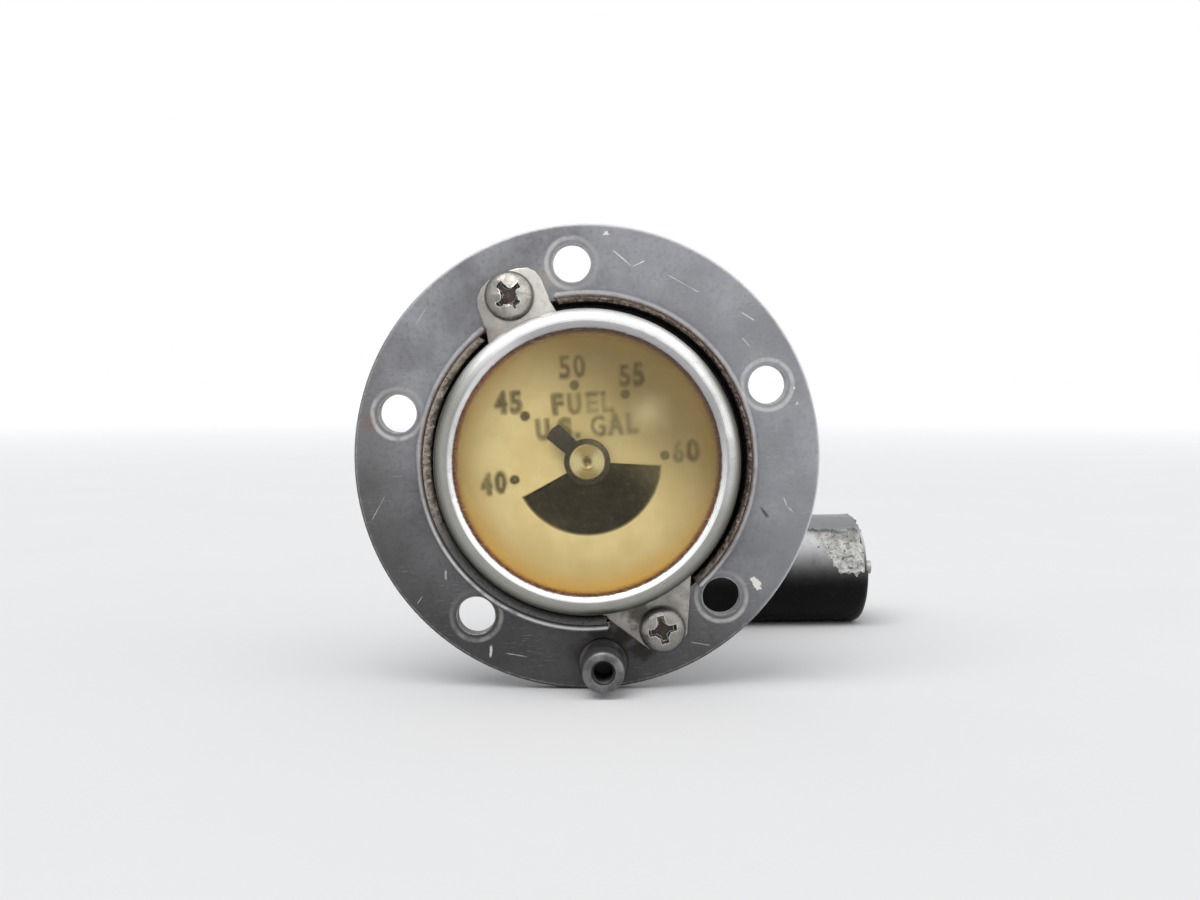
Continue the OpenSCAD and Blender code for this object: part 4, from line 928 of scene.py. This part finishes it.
# Painted shade deep in the cross recesses.
plating.coat(pit * depth * 0.9, (46, 32, 25))
plating.coat(step(fine + cloud, 1.08, 1.3) * 0.4, (124, 112, 98))
plating.coat(plating.edge(0.22) * 0.85, (246, 245, 242))
plating.set(Roughness=step(fine, 0.3, 0.7, 0.24, 0.4))
plating.bump(fine, 0.015, 0.06)
screw_piece = piece("dial_screw_heads", joined(heads), facing(0, DIAL_DROP), plating, "housing",
                    28)
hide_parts("dial_screws")

# Support yoke. A cast aluminium base with two cheeks that carry the arm's pivot, held on the stem
# by two slotted screws.
yoke_metal = Finish("yoke_casting", Metallic=0.85)
fine, pits = cast_grain(yoke_metal, (128, 128, 128), (156, 156, 157), (92, 90, 87))
stain = yoke_metal.between(yoke_metal.noise(0.2, 4, 0.65, yoke_metal.turned(shift=(4, 8, 1))), 0.5, 0.66)
yoke_metal.coat(stain * 0.45, (112, 98, 76))
yoke_metal.coat(yoke_metal.edge(0.35) * 0.55, (202, 202, 204))
yoke_metal.set(Roughness=yoke_metal.between(fine, 0.3, 0.7, 0.44, 0.6))
yoke_metal.bump(fine + yoke_metal.noise(3.5, 3, 0.6) - pits, 0.05, 0.2)
dress(yoke_metal, "support_yoke")
zinc = turned_metal("zinc_plate", (150, 148, 142), (184, 182, 174), (0.28, 0.42), 0.95, lines=2,
                    dirt=(104, 90, 66))
dress(zinc, "yoke_screws")

# Shaft, bush and magnet carrier. A steel shaft turns in a bronze bush in the yoke; a brass cup on
# its front end holds the drive magnet against a bronze thrust washer.
bronze = turned_metal("bush_bronze", (128, 92, 58), (164, 122, 80), (0.3, 0.45), lines=6,
                      dirt=(74, 56, 40))
dress(bronze, "shaft_bush", "thrust_washer")
steel = turned_metal("ground_steel", (134, 135, 138), (172, 173, 177), (0.2, 0.34), lines=7,
                     dirt=(92, 84, 74))
dress(steel, "centre_shaft", "pinion_pin")
brass = turned_metal("worked_brass", (150, 122, 66), (190, 160, 96), (0.26, 0.4), lines=6,
                     dirt=(96, 74, 42))
dress(brass, "magnet_carrier", "pinion")

# Sector gear and pivot. A brass sector with nine bevel teeth and the arm's socket rocks on a steel
# pin between the cheeks; clips hold the pin, and a stop pin in the curved slot ends the travel.
gear_brass = turned_metal("gear_brass", (142, 120, 74), (178, 154, 100), (0.28, 0.42), axis="X", lines=4,
                          dirt=(92, 72, 42))
dress(gear_brass, "sector_gear")
cross_steel = turned_metal("pin_steel", (134, 135, 138), (172, 173, 177), (0.2, 0.34), axis="X", lines=7,
                           dirt=(92, 84, 74))
dress(cross_steel, "pivot_pin", "stop_pin")
black_oxide = turned_metal("black_oxide", (46, 46, 48), (76, 76, 79), (0.34, 0.5), 0.9, axis="X", lines=2,
                           wear=0.7, dirt=(84, 58, 40))
dress(black_oxide, "pivot_clips", "wire_screw")

# Float wire. Drawn steel wire, bent once, held in the sector's socket by a screw. It has light rust.
wire_steel = Finish("drawn_wire", Metallic=0.95)
cloud = wire_steel.noise(0.5, 4, 0.65)
fine = wire_steel.noise(3.5, 3, 0.6)
wire_steel.ground(wire_steel.between(cloud, 0.35, 0.65), (150, 148, 143), (188, 186, 180))
rust = wire_steel.between(wire_steel.noise(0.7, 5, 0.7, wire_steel.turned(shift=(2, 5, 9))), 0.55, 0.68)
wire_steel.coat(rust * 0.75, (122, 78, 46))
wire_steel.set(Roughness=wire_steel.between(fine, 0.3, 0.7, 0.26, 0.38) + rust * 0.3)
wire_steel.bump(fine + rust, 0.02, 0.1)
dress(wire_steel, "float_wire")

# Push nuts. Two sprung steel caps pressed on the wire, with three lugs that bite it, keep the
# float in its place.
FLOAT_START = 5.802
FLOAT_LEN = 44
NUT_GAP = 0.2
NUT_WALL = 0.22
NUT_SLOTS, SLOT_REACH, SLOT_WIDE = 3, 2.1, 12
ON_LINE = (Matrix.Translation((0, 36, DIAL_DROP))
           @ Matrix(((0, 0, 1, 0), (1, 0, 0, 0), (0, 1, 0, 0), (0, 0, 0, 1)))
           @ Matrix.Rotation(math.radians(-48), 4, "Z") @ Matrix.Translation((30, 0, -3.5))
           @ Matrix.Rotation(math.radians(6), 4, "Y"))
caps = []
for at, flip in ((FLOAT_START - NUT_GAP, -1), (FLOAT_START + FLOAT_LEN + NUT_GAP, 1)):
    cap = spun([(1.24, 0.56), (1.5, 0.5), (1.8, 0.34), (2.1, 0.16), (2.5, 0.12), (2.85, 0.12), (2.95, 0.2),
                (2.98, 0.42)], 72, False)
    slots = []
    for face in cap.faces:
        mid = face.calc_center_median()
        turn = math.degrees(math.atan2(mid.y, mid.x)) % (360 / NUT_SLOTS)
        if mid.xy.length < SLOT_REACH and turn < SLOT_WIDE:
            slots.append(face)
    bmesh.ops.delete(cap, geom=slots, context="FACES")
    if sum(face.normal.z for face in cap.faces) < 0:
        bmesh.ops.reverse_faces(cap, faces=cap.faces)
    bmesh.ops.solidify(cap, geom=cap.faces[:], thickness=NUT_WALL)
    if flip < 0:
        bmesh.ops.scale(cap, verts=cap.verts, vec=(1, 1, -1))
        bmesh.ops.reverse_faces(cap, faces=cap.faces)
    cap.transform(Matrix.Translation((0, 0, at)))
    caps.append(cap)
nut_piece = piece("push_nut_caps", joined(caps), ON_LINE, zinc, "arm")
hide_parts("float_nuts")

# Float. A foam core in a black rubber skin, free to turn on the wire. The skin is torn open near
# its outer end, where the grey-white foam shows, dug out and crumbled.
FLOAT_R = 9.5
CORNER = 1.5
SKIN = 0.42
BORE = 1.3
FLOAT_STEPS = 216
TEAR_LEFT, TEAR_LEAN = 33.7, 0.1
TEAR_TOP, TEAR_BOTTOM = 178.0, 227.0
TEAR_SEED = 2.0
CORNER_FROM, CORNER_TO, CORNER_S, CORNER_LEAN = 118.0, 207.0, 41.3, 0.03
END_RIM, END_MIDDLE = 7.4, 4
FINE_FROM, COARSE_ROWS, FINE_ROWS = 30.0, 12, 40


def torn(s, angle):
    """How far inside the tear a place on the float is, in millimetres; below nought outside it."""
    arc = math.radians(1) * FLOAT_R
    ragged = noise.noise(Vector((s * 0.9, angle * arc * 0.9, TEAR_SEED))) * 1.1
    ragged += noise.noise(Vector((s * 2.6, angle * arc * 2.6, TEAR_SEED))) * 0.5
    left = TEAR_LEFT + (angle - TEAR_TOP) * TEAR_LEAN
    patch = min(s - left, (angle - TEAR_TOP) * arc, (TEAR_BOTTOM - angle) * arc) + ragged
    cut_corner = CORNER_S + (angle - CORNER_FROM) * CORNER_LEAN
    corner = min(s - cut_corner, (angle - CORNER_FROM) * arc, (CORNER_TO - angle) * arc) + ragged * 0.4
    return max(patch, corner)


def side_outline(r, low, high, corner, bore):
    """The float's side and ends as one open line, with closer points near the tear."""
    inner, first, last = r - corner, low + corner, high - corner
    bends = [math.radians(a) for a in (18, 36, 54, 72, 90)]
    line = [(bore, low), (inner, low)]
    line += [(inner + corner * math.sin(a), first - corner * math.cos(a)) for a in bends]
    line += [(r, first + (FINE_FROM - first) * k / COARSE_ROWS) for k in range(1, COARSE_ROWS + 1)]
    line += [(r, FINE_FROM + (last - FINE_FROM) * k / FINE_ROWS) for k in range(1, FINE_ROWS + 1)]
    bends = [math.radians(a) for a in (15, 30, 45, 60, 75, 90)]
    line += [(inner + corner * math.cos(a), last + corner * math.sin(a)) for a in bends]
    return line + [(bore, high)]


on_float = ON_LINE @ Matrix.Translation((0, 0, FLOAT_START))
skin = spun(side_outline(FLOAT_R, 0, FLOAT_LEN, CORNER, BORE), FLOAT_STEPS, False)
if sum(face.normal.dot(Vector((*face.calc_center_median().xy, 0))) for face in skin.faces) < 0:
    bmesh.ops.reverse_faces(skin, faces=skin.faces)
gone = []
for face in skin.faces:
    mid = face.calc_center_median()
    left_whole = END_RIM + noise.noise(mid * 0.9) * 0.8 if mid.z > FLOAT_LEN - 0.1 else END_MIDDLE
    if mid.xy.length > left_whole and torn(mid.z, math.degrees(math.atan2(mid.y, mid.x)) % 360) > 0:
        gone.append(face)
trimmed(skin, gone)
rim = [vert for vert in skin.verts
       if any(line.is_boundary for line in vert.link_edges) and vert.co.xy.length > END_MIDDLE]
bmesh.ops.smooth_vert(skin, verts=rim, factor=0.5, use_axis_x=True, use_axis_y=True, use_axis_z=True)
for vert in rim:
    lift = 0.06 + 0.16 * max(0, noise.noise(vert.co * 0.8))
    vert.co.xy *= 1 + lift / FLOAT_R
for vert in skin.verts:
    if vert.co.xy.length > END_MIDDLE:
        vert.co.xy *= 1 + noise.noise(vert.co * 0.18) * 0.06 / FLOAT_R
bmesh.ops.solidify(skin, geom=skin.faces[:], thickness=SKIN)
rubber = Finish("float_skin", Specular_IOR_Level=0.12)
step = rubber.between
cloud = rubber.noise(0.25, 4, 0.6)
fine = rubber.noise(3.0, 4, 0.6)
rubber.ground(step(cloud, 0.35, 0.7), (5, 5, 5), (11, 11, 11))
dusty = step(rubber.noise(0.8, 5, 0.7, rubber.turned(shift=(6, 2, 8))), 0.55, 0.75)
# Painted reflection: the black skin is painted grey along its top, as glossy rubber mirrors the bright
# surroundings there.
up_side = rubber.axis("Z") + rubber.axis("X") * 0.08 + cloud * 1.4
top_sheen = step(up_side, -25.6, -15.6)
rubber.coat(top_sheen * top_sheen * 0.95, (222, 222, 222))
rubber.coat(step(up_side, -16.4, -14.2) * 0.92, (128, 129, 130))
rubber.coat(dusty * 0.3, (62, 58, 52))
rubber.set(Roughness=step(cloud, 0.3, 0.7, 0.26, 0.4) + dusty * 0.2)
rubber.bump(fine + rubber.noise(0.6, 2) * 3, 0.03)
skin_piece = piece("float_skin_shell", skin, on_float, rubber, "float_body", 50)
CORE_R, CORE_CORNER, CORE_END = 9.0, 1.1, 0.5
SLIT_AT, SLIT_HALF, SLIT_FROM = 181, 7, 36.5
DUG_FROM, DUG_TO, DUG_SOFT, END_SOFT = 40.5, 200, 25, 2.5
core = spun(side_outline(CORE_R, CORE_END, FLOAT_LEN - CORE_END, CORE_CORNER, BORE), FLOAT_STEPS)
for vert in core.verts:
    far = vert.co.xy.length
    angle = math.degrees(math.atan2(vert.co.y, vert.co.x)) % 360
    deep = torn(vert.co.z, angle)
    if far > END_MIDDLE and deep > -0.6:
        dug = min(1, (deep + 0.6) / 1.8)
        crumb = noise.noise(vert.co * 0.7) * 0.7 + noise.noise(vert.co * 1.9) * 0.4
        crumb += noise.noise(vert.co * 4.5) * 0.2
        slit = max(0, 1 - abs(angle - SLIT_AT) / SLIT_HALF) * 1.5
        slit *= min(1, max(0, (vert.co.z - SLIT_FROM) / END_SOFT))
        corner = max(0, min(1, (DUG_TO - angle) / DUG_SOFT)) * 1.3
        corner *= min(1, max(0, (vert.co.z - DUG_FROM) / END_SOFT))
        vert.co.xy *= 1 - dug * max(0, 0.62 + crumb + slit + corner) / far
foam = Finish("float_foam", Roughness=0.9, Specular_IOR_Level=0.15)
step = foam.between
cells = foam.noise(3.4, 4, 0.7)
foam.ground(step(foam.noise(0.9, 4, 0.65), 0.35, 0.65), (196, 194, 188), (238, 237, 233))
foam.coat(step(cells, 0.52, 0.68) * 0.55, (128, 124, 114))
rips = step(foam.noise(1.1, 4, 0.7, foam.turned((0, -6, 0), (0.35, 1, 1.7))), 0.57, 0.66)
foam.coat(rips * 0.8, (66, 62, 54))
holes = step(foam.noise(1.7, 3, 0.6, foam.turned(shift=(1, 7, 3))), 0.62, 0.7)
foam.coat(holes * 0.8, (60, 58, 52))
foam.bump(cells - holes, 0.25)
piece("float_foam_core", core, on_float, foam, "float_body", 60)
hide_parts("float")
